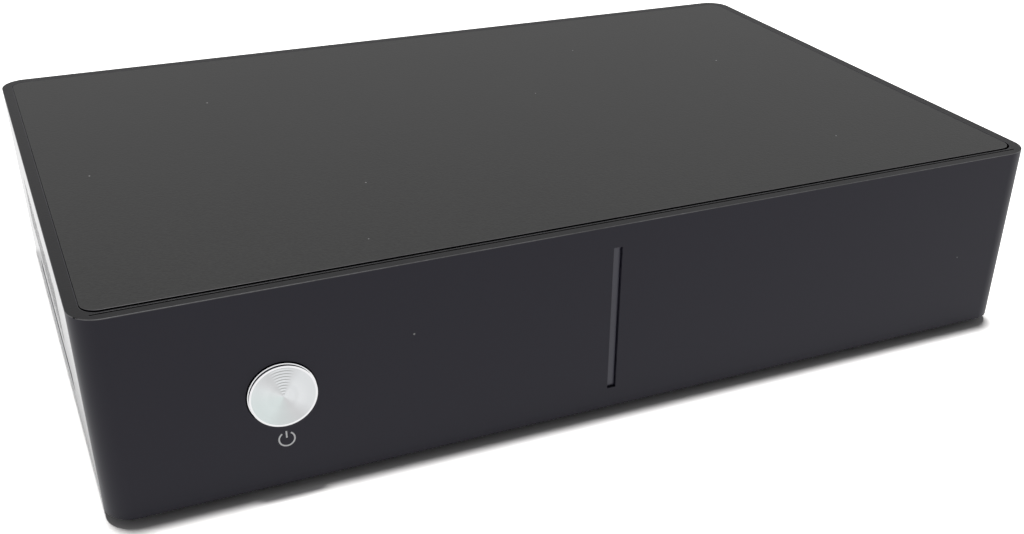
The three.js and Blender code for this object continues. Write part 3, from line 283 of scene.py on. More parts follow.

# %% [markdown]
# Paler edges stand for rubbed wear and also for a painted edge highlight. A Bevel node rounds the
# normal near an edge, and where it differs from the true one, an edge is near. Noise breaks the line
# up, because wear is never even. Dust is a few pale specks: Voronoi cells give the places, and only
# the heart of a few random cells is kept.

# %% Edge wear, edge highlight and dust groups
edge_wear_and_highlight, wear_in, wear_out = new_group(
    "edge_wear_and_highlight", {"Radius": 0.0003, "Break Up Scale": 350.0, "Amount": 0.6}, ["Mask"])
wear_bevel = add_node(edge_wear_and_highlight, "Bevel", {"Radius": wear_in["Radius"]}, samples=4)
wear_normal = add_node(edge_wear_and_highlight, "NewGeometry", {}).outputs["Normal"]
wear_sides = {0: wear_bevel.outputs[0], 1: wear_normal}
wear_dot = add_node(edge_wear_and_highlight, "VectorMath", wear_sides, operation="DOT_PRODUCT")
wear_edge = span_node(edge_wear_and_highlight, wear_dot.outputs["Value"], 0.995, 0.82)
wear_noise = noise_node(edge_wear_and_highlight, object_place(edge_wear_and_highlight), wear_in["Break Up Scale"], 4.0)
wear_broken = math_node(edge_wear_and_highlight, "MULTIPLY", wear_edge, span_node(edge_wear_and_highlight, wear_noise, 0.35, 0.6))
wear_mask = math_node(edge_wear_and_highlight, "MULTIPLY", wear_broken, wear_in["Amount"], clamp=True)
connect(edge_wear_and_highlight, wear_mask, wear_out["Mask"])

dust, dust_in, dust_out = new_group("dust", {"Scale": 260.0, "Speck Size": 0.05, "Share": 0.1}, ["Mask"])
dust_cells = add_node(dust, "TexVoronoi", {"Vector": object_place(dust), "Scale": dust_in["Scale"]})
dust_heart = math_node(dust, "LESS_THAN", dust_cells.outputs["Distance"], dust_in["Speck Size"])
dust_chance = add_node(dust, "SeparateColor", {0: dust_cells.outputs["Color"]}).outputs[0]
dust_kept = math_node(dust, "LESS_THAN", dust_chance, dust_in["Share"])
connect(dust, math_node(dust, "MULTIPLY", dust_heart, dust_kept), dust_out["Mask"])
print("edge wear and dust groups:", len(edge_wear_and_highlight.nodes), "and", len(dust.nodes), "nodes")

# %% [markdown]
# A turned or spun face carries fine rings round its axis. The distance from the axis, sent through
# a noise in one dimension, gives rings of uneven width and depth, as a cutting tool leaves them.
# The button turns about the Y axis through its own middle, so a Generated coordinate, which runs
# from zero to one over the piece, finds that axis without being told. The direction from the axis
# is used for painted reflections: a darker wedge, a cooler wedge, and dark ring crests in one wedge
# stand in for what the spun face reflects round it. Each painted reflection output is a mask round
# one direction.

# %% Spun rings group
# Directions and limits of the painted reflections: dark ring crests, a darker wedge and a cooler wedge.
PAINTED_RIDGE_DEGREES = 89
PAINTED_DARK_DEGREES = 99
PAINTED_COOL_DEGREES = 215
PAINTED_RIDGE_LIMITS = (0.90, 0.985)
PAINTED_DARK_LIMITS = (-0.19, 0.77)
PAINTED_COOL_LIMITS = (0.2, 0.95)

spun_rings, rings_in, rings_out = new_group(
    "spun_rings", {"Rings": 60.0, "Drift": 3.0, "Ridges": 10.0},
    ["Height", "Mask", "Painted Ridge Reflection", "Painted Dark Reflection", "Painted Cool Reflection"])
rings_place = add_node(spun_rings, "TexCoord", {}).outputs["Generated"]
rings_apart = add_node(spun_rings, "SeparateXYZ", {0: rings_place}).outputs
rings_x = span_node(spun_rings, rings_apart["X"], 0.0, 1.0, -1.0, 1.0)
rings_z = span_node(spun_rings, rings_apart["Z"], 0.0, 1.0, -1.0, 1.0)
rings_z_square = math_node(spun_rings, "MULTIPLY", rings_z, rings_z)
rings_square = math_node(spun_rings, "MULTIPLY_ADD", rings_x, rings_x, rings_z_square)
rings_radius = math_node(spun_rings, "SQRT", rings_square)
rings_turn = math_node(spun_rings, "ARCTAN2", rings_z, rings_x)


def ring_noise(scale, detail):
    inputs = {"W": rings_radius, "Scale": scale, "Detail": detail}
    return add_node(spun_rings, "TexNoise", inputs, noise_dimensions="1D").outputs["Fac"]


def lobe(degrees, folds, limits):
    """A mask that is one toward a direction and fades to zero; two folds give the opposite one too."""
    off = math_node(spun_rings, "SUBTRACT", rings_turn, math.radians(degrees))
    toward = math_node(spun_rings, "COSINE", math_node(spun_rings, "MULTIPLY", off, folds))
    return span_node(spun_rings, toward, *limits)


# Ring crests inside one wedge, darkened later, are a painted reflection.
ridge_phase = math_node(spun_rings, "MULTIPLY", rings_radius, rings_in["Ridges"])
ridge_wave = math_node(spun_rings, "COSINE", math_node(spun_rings, "MULTIPLY", ridge_phase, 2 * math.pi))
painted_ridge_crests = span_node(spun_rings, ridge_wave, 0.25, 1.0)
painted_ridge_wedge = lobe(PAINTED_RIDGE_DEGREES, 1.0, PAINTED_RIDGE_LIMITS)
beside_painted_ridges = math_node(spun_rings, "SUBTRACT", 1.0, painted_ridge_wedge)
ring_results = {
    "Height": ring_noise(rings_in["Rings"], 2.0),
    "Mask": span_node(spun_rings, ring_noise(rings_in["Drift"], 1.0), 0.3, 0.7),
    "Painted Ridge Reflection": math_node(spun_rings, "MULTIPLY", painted_ridge_crests, painted_ridge_wedge),
    "Painted Dark Reflection": math_node(spun_rings, "MULTIPLY", lobe(PAINTED_DARK_DEGREES, 2.0, PAINTED_DARK_LIMITS), beside_painted_ridges),
    "Painted Cool Reflection": lobe(PAINTED_COOL_DEGREES, 1.0, PAINTED_COOL_LIMITS)}
for label, result in ring_results.items():
    connect(spun_rings, result, rings_out[label])
print("spun rings group:", len(spun_rings.nodes), "nodes")

# %% [markdown]
# A finish is then a short recipe. Two close tones are mixed by the mottle, edges and dust are laid
# over them, the mottle also moves the roughness a little, and the grain drives one bump. Numbers
# that are the same all over, such as the metal share or the clear coat, go on the shader itself.

# %% Finish recipe
DUST_TONE = (0.3, 0.3, 0.3)
FINISHES = {}


def new_material(name):
    material = bpy.data.materials.new(name)
    material.use_nodes = True
    FINISHES[name] = material
    return material.node_tree, material.node_tree.nodes["Principled BSDF"].inputs


def use_group(tree, group, values):
    """Puts a group into a material, with its own numbers, and gives what the group puts out."""
    return add_node(tree, "Group", values, node_tree=group).outputs


def mix_colours(tree, mask, *colours):
    first, second = [c if isinstance(c, bpy.types.NodeSocket) else (*c, 1) for c in colours]
    return add_node(tree, "Mix", {"Factor": mask, 6: first, 7: second}, data_type="RGBA").outputs[2]


def bump_node(tree, height, depth):
    return add_node(tree, "Bump", {"Strength": 1.0, "Distance": depth, "Height": height}).outputs["Normal"]


def finish(name, tones, roughness, mottle_sizes=(14.0, 3000.0, 0.5), grain_size=2500.0, grain_cells=0.5,
           grain_depth=0.00001, worn_and_highlight=None, wear_amount=0.5, wear_radius=0.0003, dusty=0.0, **plain):
    """A finish from a pair of tones and a pair of roughnesses. Plain values go on the shader."""
    tree, shader = new_material(name)
    spots = use_group(tree, mottle, dict(enumerate(mottle_sizes)))["Mask"]
    colour = mix_colours(tree, spots, *tones)
    # Paler edges: rubbed wear and a painted edge highlight.
    if worn_and_highlight is not None:
        edges = use_group(tree, edge_wear_and_highlight, {"Radius": wear_radius, "Amount": wear_amount})["Mask"]
        colour = mix_colours(tree, edges, colour, worn_and_highlight)
    if dusty:
        colour = mix_colours(tree, use_group(tree, dust, {"Share": dusty})["Mask"], colour, DUST_TONE)
    connect(tree, colour, shader["Base Color"])
    connect(tree, span_node(tree, spots, 0.0, 1.0, *roughness), shader["Roughness"])
    pebbles = use_group(tree, grain, {"Scale": grain_size, "Cells": grain_cells})["Height"]
    connect(tree, bump_node(tree, pebbles, grain_depth), shader["Normal"])
    for label, value in plain.items():
        shader[label.replace("_", " ")].default_value = value


print("finish recipe ready")

# %% [markdown]
# The receiver has few finishes, and each stands for one way of making. The shell is a satin black
# moulding with a breath of violet, matt on the rim, with a pale painted highlight on its outer edge.
# The top plate is steel under a fine matt charcoal coat. The faces inside the narrow gaps are painted
# near-black as painted shade. The tray, the sockets and the chips are plainer mouldings.

# %% Moulded and painted finishes
finish("shell_plastic", ((0.0147, 0.0133, 0.0240), (0.0173, 0.0157, 0.0270)), (0.33, 0.39),
       mottle_sizes=(9.0, 1800.0, 0.35), grain_size=3600.0, grain_depth=0.0000016,
       worn_and_highlight=(0.06, 0.056, 0.064), wear_amount=0.3, wear_radius=0.00025, dusty=0.03, Specular_IOR_Level=0.27)
finish("plate_paint", ((0.0150, 0.0150, 0.0150), (0.0372, 0.0371, 0.0368)), (0.51, 0.65),
       mottle_sizes=(11.0, 1900.0, 0.78), grain_size=1800.0, grain_cells=0.65, grain_depth=0.000034,
       worn_and_highlight=(0.07, 0.07, 0.07), wear_radius=0.0002, dusty=0.03, Specular_IOR_Level=0.14)
finish("rim_plastic", ((0.0066, 0.0064, 0.0072), (0.0190, 0.0186, 0.0196)), (0.50, 0.62),
       mottle_sizes=(11.0, 1900.0, 0.7), grain_size=2200.0, grain_depth=0.000024, Specular_IOR_Level=0.12)
# A pale tone for small edge rounds, as a painted highlight.
finish("painted_edge_highlight", ((0.030, 0.029, 0.031), (0.110, 0.108, 0.114)), (0.30, 0.42),
       mottle_sizes=(70.0, 900.0, 0.5), grain_size=3600.0, grain_depth=0.000004)
# Near-black for the faces inside gaps, grooves and the pocket behind the plate: painted shade.
finish("painted_gap_shade", ((0.0008, 0.0008, 0.0009), (0.0016, 0.0016, 0.0018)), (0.7, 0.85),
       grain_size=2200.0, Specular_IOR_Level=0.05)
finish("tray_plastic", ((0.0085, 0.0082, 0.0088), (0.0135, 0.013, 0.0138)), (0.5, 0.6),
       grain_size=2200.0, grain_depth=0.00002, worn_and_highlight=(0.04, 0.039, 0.04), dusty=0.08)
finish("panel_paint", ((0.0078, 0.0078, 0.0086), (0.0150, 0.0150, 0.0160)), (0.42, 0.56),
       mottle_sizes=(16.0, 2200.0, 0.6), grain_size=1900.0, grain_cells=0.7, grain_depth=0.00003,
       worn_and_highlight=(0.16, 0.16, 0.165), dusty=0.05)
finish("foot_rubber", ((0.010, 0.0095, 0.009), (0.018, 0.017, 0.016)), (0.75, 0.9),
       grain_size=1500.0, grain_depth=0.00003, dusty=0.15)
finish("socket_plastic", ((0.0085, 0.0085, 0.0092), (0.0120, 0.0120, 0.0128)), (0.32, 0.4),
       grain_size=3000.0, grain_depth=0.000006, worn_and_highlight=(0.05, 0.05, 0.052), wear_amount=0.35)
finish("chip_plastic", ((0.010, 0.010, 0.0115), (0.016, 0.016, 0.018)), (0.45, 0.55),
       grain_size=4200.0, grain_depth=0.000008, worn_and_highlight=(0.05, 0.05, 0.05), wear_amount=0.3)
finish("cream_plastic", ((0.60, 0.56, 0.46), (0.70, 0.66, 0.57)), (0.38, 0.46),
       grain_depth=0.000006, worn_and_highlight=(0.8, 0.77, 0.7), wear_amount=0.4)
finish("white_plastic", ((0.70, 0.70, 0.68), (0.80, 0.80, 0.78)), (0.35, 0.42), grain_depth=0.000004)
finish("mark_ink", ((0.62, 0.62, 0.63), (0.74, 0.74, 0.75)), (0.5, 0.6),
       mottle_sizes=(300.0, 5200.0, 0.6), grain_size=5000.0, grain_depth=0.000004)
finish("guide_plastic", ((0.0400, 0.0381, 0.0600), (0.0542, 0.0521, 0.0778)), (0.30, 0.38),
       mottle_sizes=(60.0, 2500.0, 0.3), grain_size=2600.0, grain_depth=0.000004, Coat_Weight=0.25)
finish("lamp_plastic", ((0.66, 0.72, 0.82), (0.76, 0.82, 0.9)), (0.12, 0.2),
       grain_size=1500.0, grain_depth=0.000002, Transmission_Weight=0.5)
print(len(FINISHES), "finishes")

# %% [markdown]
# The circuit boards are glass cloth under green lacquer. The weave of the cloth shows as a faint
# check, and copper tracks lie under the lacquer as paler bands: a noise squeezed along one axis
# and folded into bands gives tracks that bend and branch.

# %% Board laminate
TRACK_SQUEEZE = (1.0, 0.16, 0.16)
TRACK_TONE = (0.030, 0.118, 0.052)

finish("board_laminate", ((0.010, 0.052, 0.025), (0.014, 0.070, 0.033)), (0.24, 0.34),
       mottle_sizes=(30.0, 1400.0, 0.3), grain_size=1600.0, grain_depth=0.000004)
board_tree = FINISHES["board_laminate"].node_tree
board_colour = board_tree.nodes["Principled BSDF"].inputs["Base Color"]
lacquer = board_colour.links[0].from_socket
squeezed = add_node(board_tree, "Mapping", {"Vector": object_place(board_tree), "Scale": TRACK_SQUEEZE})
tracks = noise_node(board_tree, squeezed.outputs[0], 420.0, 1.0)
bands = math_node(board_tree, "PINGPONG", math_node(board_tree, "MULTIPLY", tracks, 9.0), 1.0)
copper = span_node(board_tree, bands, 0.62, 0.7)
connect(board_tree, mix_colours(board_tree, copper, lacquer, TRACK_TONE), board_colour)
print(len(FINISHES), "finishes")

# %% [markdown]
# Sheet metals differ from mouldings in one number, the metal share, and in broader mottling from
# rolling and plating. A grain with large soft cells stands for the crystals of tin.

# %% Sheet metals
finish("tin_plate", ((0.36, 0.37, 0.37), (0.50, 0.51, 0.51)), (0.22, 0.42), Metallic=1.0,
       mottle_sizes=(90.0, 900.0, 0.4), grain_size=700.0, grain_cells=0.8, grain_depth=0.000008,
       worn_and_highlight=(0.62, 0.62, 0.6))
finish("nickel_plate", ((0.52, 0.50, 0.46), (0.62, 0.60, 0.56)), (0.14, 0.24), Metallic=1.0,
       mottle_sizes=(120.0, 1500.0, 0.4), grain_size=1800.0, grain_depth=0.000002,
       worn_and_highlight=(0.75, 0.73, 0.7), wear_radius=0.00015)
finish("contact_gold", ((0.72, 0.50, 0.20), (0.82, 0.60, 0.28)), (0.18, 0.28), Metallic=1.0,
       mottle_sizes=(200.0, 2500.0, 0.4), grain_size=3000.0, grain_depth=0.000001)
finish("screw_steel", ((0.24, 0.25, 0.27), (0.36, 0.37, 0.38)), (0.24, 0.4), Metallic=1.0,
       mottle_sizes=(150.0, 1800.0, 0.5), grain_size=1500.0, grain_depth=0.000004,
       worn_and_highlight=(0.6, 0.6, 0.6), wear_amount=0.8, wear_radius=0.00015)
finish("spring_steel", ((0.34, 0.34, 0.35), (0.46, 0.46, 0.47)), (0.2, 0.3), Metallic=1.0,
       mottle_sizes=(150.0, 1800.0, 0.5), grain_size=1500.0, grain_depth=0.000002)
finish("sink_aluminium", ((0.46, 0.47, 0.48), (0.58, 0.59, 0.60)), (0.34, 0.5), Metallic=1.0,
       mottle_sizes=(40.0, 900.0, 0.5), grain_size=900.0, grain_depth=0.000006,
       worn_and_highlight=(0.75, 0.75, 0.75), wear_amount=0.6)
print(len(FINISHES), "finishes")

# %% [markdown]
# The button is spun aluminium. Its rings spread a highlight across themselves, so the face shows
# pale and dark wedges that meet in the middle. The Principled shader does part of that with its
# Anisotropic number, once a radial Tangent tells it which way the rings run. The darker wedge, the
# cooler wedge and the dark ring crests are painted into the colour as painted reflections.

# %% Spun aluminium
SCALLOP_PITCH = 0.58 * MM
SPUN_MOTTLE = (260.0, 2400.0, 0.4)
# Tones of the painted reflections on the button's face.
PAINTED_DARK_TONE = (0.51, 0.507, 0.51)
PAINTED_COOL_TONE = (0.63, 0.735, 0.71)
PAINTED_RIDGE_TONE = (0.22, 0.22, 0.22)


def spun_aluminium(name, tones, roughness, rings, ring_depth, anisotropic, painted_wedges):
    """Ringed metal whose colour goes, by a given share, to another tone inside each lobe, as a painted
    reflection.
    """
    tree, shader = new_material(name)
    ring_marks = use_group(tree, spun_rings, {"Rings": rings, "Ridges": button_radius / SCALLOP_PITCH})
    spots = use_group(tree, mottle, dict(enumerate(SPUN_MOTTLE)))["Mask"]
    ring_tone = mix_colours(tree, ring_marks["Mask"], *tones)
    colour = mix_colours(tree, math_node(tree, "MULTIPLY", spots, 0.3), ring_tone, tones[0])
    for label, share, tone in painted_wedges:
        colour = mix_colours(tree, math_node(tree, "MULTIPLY", ring_marks[label], share), colour, tone)
    tangent = add_node(tree, "Tangent", {}, direction_type="RADIAL", axis="Y")
    sockets = {"Base Color": colour, "Roughness": span_node(tree, ring_marks["Mask"], 0.0, 1.0, *roughness),
               "Normal": bump_node(tree, ring_marks["Height"], ring_depth), "Metallic": 1.0,
               "Anisotropic": anisotropic, "Tangent": tangent.outputs[0]}
    for label, source in sockets.items():
        connect(tree, source, shader[label])


spun_aluminium("button_aluminium", ((0.715, 0.730, 0.741), (0.800, 0.816, 0.827)), (0.2, 0.26), 90.0,
               0.000002, 0.6, [("Painted Dark Reflection", 0.5, PAINTED_DARK_TONE), ("Painted Cool Reflection", 0.5, PAINTED_COOL_TONE),
                               ("Painted Ridge Reflection", 0.8, PAINTED_RIDGE_TONE)])
spun_aluminium("button_rim", ((0.90, 0.90, 0.91), (0.94, 0.94, 0.95)), (0.06, 0.1), 30.0, 0.0000004, 0.2, [])
print(len(FINISHES), "finishes")

# %% [markdown]
# A moulding's skin turns mirror-like where it is seen at a very flat angle. That is why the box's
# left side, which the camera only just looks along, fades into the white floor in the picture.
# Layer Weight tells that angle, and lowers the roughness there.

# %% Grazing shine
GRAZING_LIMITS = (0.90, 0.975)
GRAZING_ROUGHNESS = 0.03

shell_tree = FINISHES["shell_plastic"].node_tree
shell_roughness = shell_tree.nodes["Principled BSDF"].inputs["Roughness"]
usual_roughness = shell_roughness.links[0].from_socket
flat_angle = add_node(shell_tree, "LayerWeight", {"Blend": 0.5}).outputs["Facing"]
connect(shell_tree, span_node(shell_tree, flat_angle, *GRAZING_LIMITS, usual_roughness, GRAZING_ROUGHNESS),
        shell_roughness)
print("grazing shine on", FINISHES["shell_plastic"].name)

# %% [markdown]
# Shapes are made in code, in three steps: loops, solids and pieces. A loop is a ring of points,
# such as a circle or a rounded rectangle. A fillet is a short list of pairs that tells how far
# such a loop is drawn in, and how deep it lies, step by step round an edge.

# %% Loops
def rounded_loop(half_width, half_height, radius, depth, steps=6):
    """Points round a rectangle with round corners, in the plane at depth on the local Z axis."""
    radius = min(radius, half_width, half_height)
    points = []
    for corner, (side_x, side_y) in enumerate(((1, -1), (1, 1), (-1, 1), (-1, -1))):
        for step in range(steps + 1):
            angle = math.radians(90 * (corner - 1 + step / steps))
            x = side_x * (half_width - radius) + radius * math.cos(angle)
            y = side_y * (half_height - radius) + radius * math.sin(angle)
            points.append(Vector((x, y, depth)))
    return points


def round_loop(radius, depth, sides):
    turns = (2 * math.pi * side / sides for side in range(sides))
    return [Vector((radius * math.cos(turn), radius * math.sin(turn), depth)) for turn in turns]


def fillet(radius, steps=4):
    """Inset and depth pairs of a quarter round, from a face's edge down to the side below it."""
    turns = (math.radians(90 * step / steps) for step in range(steps + 1))
    return [(radius * (1 - math.sin(turn)), radius * (1 - math.cos(turn))) for turn in turns]


def fillet_back(radius, steps=4):
    """The same quarter round, from the side up to the edge of the face."""
    return fillet(radius, steps)[::-1]


def both_fillets(low, high, radius, steps):
    """Inset and height pairs of an upright side whose two edges are rounded."""
    below = [(inset, low + depth) for inset, depth in fillet(radius, steps)]
    return below + [(inset, high - depth) for inset, depth in fillet_back(radius, steps)]


print("a fillet in four steps:", [tuple(round(v, 2) for v in pair) for pair in fillet(1.0)])

# %% [markdown]
# A solid is a row of loops with equally many points, and a word on whether the last loop joins
# the first. Blender could also spin a profile or bevel a cube. Written out as loops, a turned part
# and a box with soft edges are the same kind of thing, and every corner lies where its sizes say.

# %% Solids
def loft(loops, matrix=Matrix.Identity(4), closed=False):
    """A solid that is set in place by a matrix."""
    return [[matrix @ point for point in loop] for loop in loops], closed


def turned(pairs, matrix=Matrix.Identity(4), sides=28, closed=False):
    """A solid from radius and depth pairs about local Z. A radius of zero closes it to a point."""
    loops = [round_loop(radius, depth, sides) if radius > 0 else [Vector((0, 0, depth))]
             for radius, depth in pairs]
    return loft(loops, matrix, closed)


def soft_box(low, high, edge=0.15 * MM, steps=2):
    """A closed box between two corners, its edges rounded as a moulding's are."""
    low, high = Vector(low), Vector(high)
    middle, half = (low + high) / 2, (high - low) / 2
    edge = min(edge, *(0.45 * side for side in half))
    return loft([rounded_loop(half.x - inset, half.y - inset, edge, height, steps)
                 for inset, height in both_fillets(low.z, high.z, edge, steps)],
                Matrix.Translation((middle.x, middle.y, 0)))


def fill_shape(shape, loops, closed):
    """Joins the loops of a solid by faces, and closes its ends."""
    rings = [[shape.verts.new(point) for point in loop] for loop in loops]
    pairs = list(zip(rings, rings[1:]))
    if closed:
        pairs.append((rings[-1], rings[0]))
    for first, second in pairs:
        count = max(len(first), len(second))
        for at in range(count):
            after = (at + 1) % count
            corners = [first[at % len(first)], first[after % len(first)],
                       second[after % len(second)], second[at % len(second)]]
            shape.faces.new(list(dict.fromkeys(corners)))
    for ring in [] if closed else (rings[0], rings[-1]):
        if len(ring) > 2:
            shape.faces.new(ring)


print("a small box has", len(soft_box((0, 0, 0), (1, 1, 1))[0]), "loops")

# %% [markdown]
# Faces are shaded smooth except across sharp edges, and a Weighted Normal modifier lets the large
# flat faces keep their own normals, so a small rounding catches a clean line of light. Openings
# are cut by exact booleans, with tools whose outer end flares into the rounded edge of the opening.

# %% Pieces
SHARP_DEGREES = 34
WELD = 0.0001 * MM
CUT_LIFT = 0.004 * MM
CUT_REACH = 1.0 * MM


def set_down(name, mesh, matrix=Matrix.Identity(4)):
    made = bpy.data.objects.new(name, mesh)
    made.matrix_world = matrix
    scene.collection.objects.link(made)
    return made


def make_object(name, solids):
    shape = bmesh.new()
    for loops, closed in solids:
        fill_shape(shape, loops, closed)
    bmesh.ops.remove_doubles(shape, verts=shape.verts, dist=WELD)
    bmesh.ops.recalc_face_normals(shape, faces=shape.faces)
    mesh = bpy.data.meshes.new(name)
    shape.to_mesh(mesh)
    shape.free()
    return set_down(name, mesh)


def carve(piece, tools, operation="DIFFERENCE"):
    """Cuts tools out of a piece, or joins them on, by exact booleans. A tool is a list of solids."""
    made = [make_object(f"tool_{at}", tool) for at, tool in enumerate(tools)]
    for tool in made:
        step = piece.modifiers.new(tool.name, "BOOLEAN")
        step.operation = operation
        step.solver = "EXACT"
        step.object = tool
    bpy.context.view_layer.update()
    carved = bpy.data.meshes.new_from_object(piece.evaluated_get(bpy.context.evaluated_depsgraph_get()))
    piece.modifiers.clear()
    used = [piece.data] + [tool.data for tool in made]
    piece.data = carved
    carved.name = piece.name
    for tool in made:
        bpy.data.objects.remove(tool)
    for mesh in used:
        bpy.data.meshes.remove(mesh)


def dress(piece, finishes, replaced=(), slot=None, body="housing"):
    """Gives a piece its finishes, shading, body, and the nodes that it stands for; slot is not used."""
    piece.data.materials.clear()
    for name in finishes:
        piece.data.materials.append(FINISHES[name])
    piece.data.shade_smooth()
    piece.data.set_sharp_from_angle(angle=math.radians(SHARP_DEGREES))
    piece.modifiers.new("even_faces", "WEIGHTED_NORMAL").keep_sharp = True
    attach(piece, body)
    if replaced:
        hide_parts(*replaced)
    return piece


def add_piece(name, solids, *finishes, joins=(), cuts=(), **dressing):
    """A whole piece: its solids, then what is joined on, then what is cut out, then its dress."""
    piece = make_object(name, solids)
    if joins:
        carve(piece, joins, "UNION")
    if cuts:
        carve(piece, cuts)
    return dress(piece, finishes, **dressing)


def mouth(width, height, radius, flare, inside, matrix, steps=3):
    """A tool for an opening whose outer edge is rounded over. Its local Z looks out of the face."""
    sizes = [(0.0, -inside)] + [(grown, CUT_LIFT - depth) for grown, depth in fillet_back(flare)]
    return loft([rounded_loop(width / 2 + grown, height / 2 + grown, radius + grown, depth, steps)
                 for grown, depth in [*sizes, (flare, CUT_REACH)]], matrix)


print("piece helpers ready")

# %% [markdown]
# The shell is one moulding: four walls, a rim round the top, and a ledge below the rim that
# carries the top plate. Its cross section is swept round the outline of the body. The front rim is
# a little wider than the others, so each corner of the section also has a forward shift.

# %% Shell section
WALL = 2.3 * MM
RIM = 2.35 * MM
FRONT_RIM_EXTRA = 0.35 * MM
OUTER_ROUND = 0.16 * MM
INNER_ROUND = 0.12 * MM
LEDGE_REACH = 3.7 * MM
LEDGE_THICKNESS = 1.8 * MM
CORNER_RADIUS = 5.5 * MM
SMALLEST_RADIUS = 0.2 * MM
CORNER_STEPS = 18
housing = NodeBox("housing_shell")
plate = NodeBox("top_plate")
body_half = housing.size / 2
top = housing.high.z
ledge_top = plate.low.z
ledge_bottom = ledge_top - LEDGE_THICKNESS


def body_loop(inset, height, front_extra=0.0, steps=CORNER_STEPS):
    """The outline of the body, drawn in by inset, and by more in front, at a height above the floor."""
    radius = max(CORNER_RADIUS - inset, SMALLEST_RADIUS)
    loop = rounded_loop(body_half.x - inset, body_half.y - inset - front_extra / 2, radius, height, steps)
    return [point + Vector((0, housing.middle.y + front_extra / 2, 0)) for point in loop]


outer_section = [(WALL, housing.low.z)] + both_fillets(housing.low.z, top, OUTER_ROUND, 4)
rim_section = [(RIM - inset, top - depth) for inset, depth in fillet(INNER_ROUND, 3)] + [(RIM, ledge_top)]
ledge_section = [(WALL + LEDGE_REACH, ledge_top), (WALL + LEDGE_REACH, ledge_bottom), (WALL, ledge_bottom)]
shell_loops = [body_loop(*pair) for pair in outer_section]
shell_loops += [body_loop(*pair, FRONT_RIM_EXTRA) for pair in rim_section]
shell_loops += [body_loop(*pair) for pair in ledge_section]
print("shell section:", len(shell_loops), "corners")

# %% [markdown]
# Inside, the shell carries screw bosses in its corners, a guide ring for the button, two posts for
# the front board and two blocks for the rear panel. They are hidden but for the vents, yet the
# pieces that they hold would float without them. Each is a turned or boxed solid, joined on.

# %% Shell bosses
THREAD_RADIUS = 1.4 * MM
BOSS_INSET = 8 * MM
BOSS_RADIUS = 3 * MM
BOSS_BORE = 7 * MM
GUIDE_RADIUS = 8.1 * MM
GUIDE_WALL = 1.2 * MM
GUIDE_LENGTH = 4 * MM
POST_RADIUS = 2.6 * MM
POST_BORE = 5 * MM
PANEL_BOSS = 6 * MM
PANEL_BOSS_DROP = 1.4 * MM
PANEL_BORE_LEAD = 0.5 * MM
TRAY_THICKNESS = 2.2 * MM
SIDES = ("left", "right")
boss_top = ledge_bottom + LEDGE_THICKNESS / 2
tray_top = housing.low.z + TRAY_THICKNESS
front_wall = housing.low.y + WALL
board_front = NodeBox("front_board").low.y
panel_front = NodeBox("rear_panel").low.y


def bored(radius, bore_depth, length, matrix):
    """A round post whose end at local zero has a blind bore for a screw."""
    return turned([(0, bore_depth), (THREAD_RADIUS, bore_depth), (THREAD_RADIUS, 0), (radius, 0),
                   (radius, length), (0, length)], matrix)


shell_bosses = []
for side_x in (-1, 1):
    for side_y in (-1, 1):
        x = side_x * (body_half.x - BOSS_INSET)
        y = housing.middle.y + side_y * (body_half.y - BOSS_INSET)
        place = Matrix.Translation((x, y, tray_top))
        shell_bosses.append(bored(BOSS_RADIUS, BOSS_BORE, boss_top - tray_top, place))
ring_pairs = [(GUIDE_RADIUS + wide, deep) for wide, deep in (
    (0, 0), (GUIDE_WALL, 0), (GUIDE_WALL, GUIDE_LENGTH + WALL / 2), (0, GUIDE_LENGTH + WALL / 2))]
shell_bosses.append(turned(ring_pairs, button.face(REAR, y=front_wall - WALL / 2), 56, closed=True))
for side in SIDES:
    screw_face = NodeBox("front_board_screw_" + side).face(FRONT, y=board_front)
    shell_bosses.append(bored(POST_RADIUS, POST_BORE, board_front - front_wall + WALL / 2, screw_face))
panel_bores = []
for side in SIDES:
    screw = NodeBox("panel_screw_" + side)
    low = (screw.middle.x - PANEL_BOSS / 2, panel_front - PANEL_BOSS, screw.low.z - PANEL_BOSS_DROP)
    shell_bosses.append(soft_box(low, (screw.middle.x + PANEL_BOSS / 2, panel_front, boss_top)))
    bore_start = screw.low.y - PANEL_BORE_LEAD
    bore_end = panel_front + CUT_REACH - bore_start
    panel_bores.append(turned([(0, 0), (THREAD_RADIUS, 0), (THREAD_RADIUS, bore_end), (0, bore_end)],
                              screw.face(REAR, y=bore_start)))
print("shell bosses:", len(shell_bosses))

# %% [markdown]
# Now the openings. The button's hole and the upright light slot are in the front, twelve vents in
# each side, the card mouth in the left side, and one wide window in the rear. A fine groove runs
# along the front rim. All of them are cut in one go, and each has an edge rounding of its own.

# %% Shell openings
BUTTON_GAP = 0.22 * MM
HOLE_FLARE = 0.08 * MM
VENT = (2 * MM, 12 * MM, 0.9 * MM, 0.22 * MM)
VENT_PITCH = 5 * MM
VENT_COUNT = 12
VENT_MIDDLE = 26 * MM
GUIDE_LAP = 0.7 * MM
SLOT_WIDTH = 1.85 * MM
SLOT_EDGE = (0.12 * MM, 0.1 * MM)
CARD_MOUTH = (56.6 * MM, 3.2 * MM, 1.1 * MM, 0.4 * MM)
WINDOW_SIDE = 9 * MM
WINDOW_LOW = 6 * MM
WINDOW_HIGH = 37.4 * MM
WINDOW_BEHIND = 0.4 * MM
WINDOW_EDGE = (1.2 * MM, 0.35 * MM)
GROOVE_INSET = 1.85 * MM
GROOVE_WIDTH = 0.34 * MM
GROOVE_DEPTH = 0.25 * MM
GROOVE_END = 3.5 * MM
GROOVE_EDGE = (0.1 * MM, 0.05 * MM)
FINE_STEPS = 6
through = WALL + CUT_REACH
guide = NodeBox("light_guide")
reader = NodeBox("card_reader")
slot_low = guide.low.z + GUIDE_LAP
slot_high = guide.high.z - GUIDE_LAP
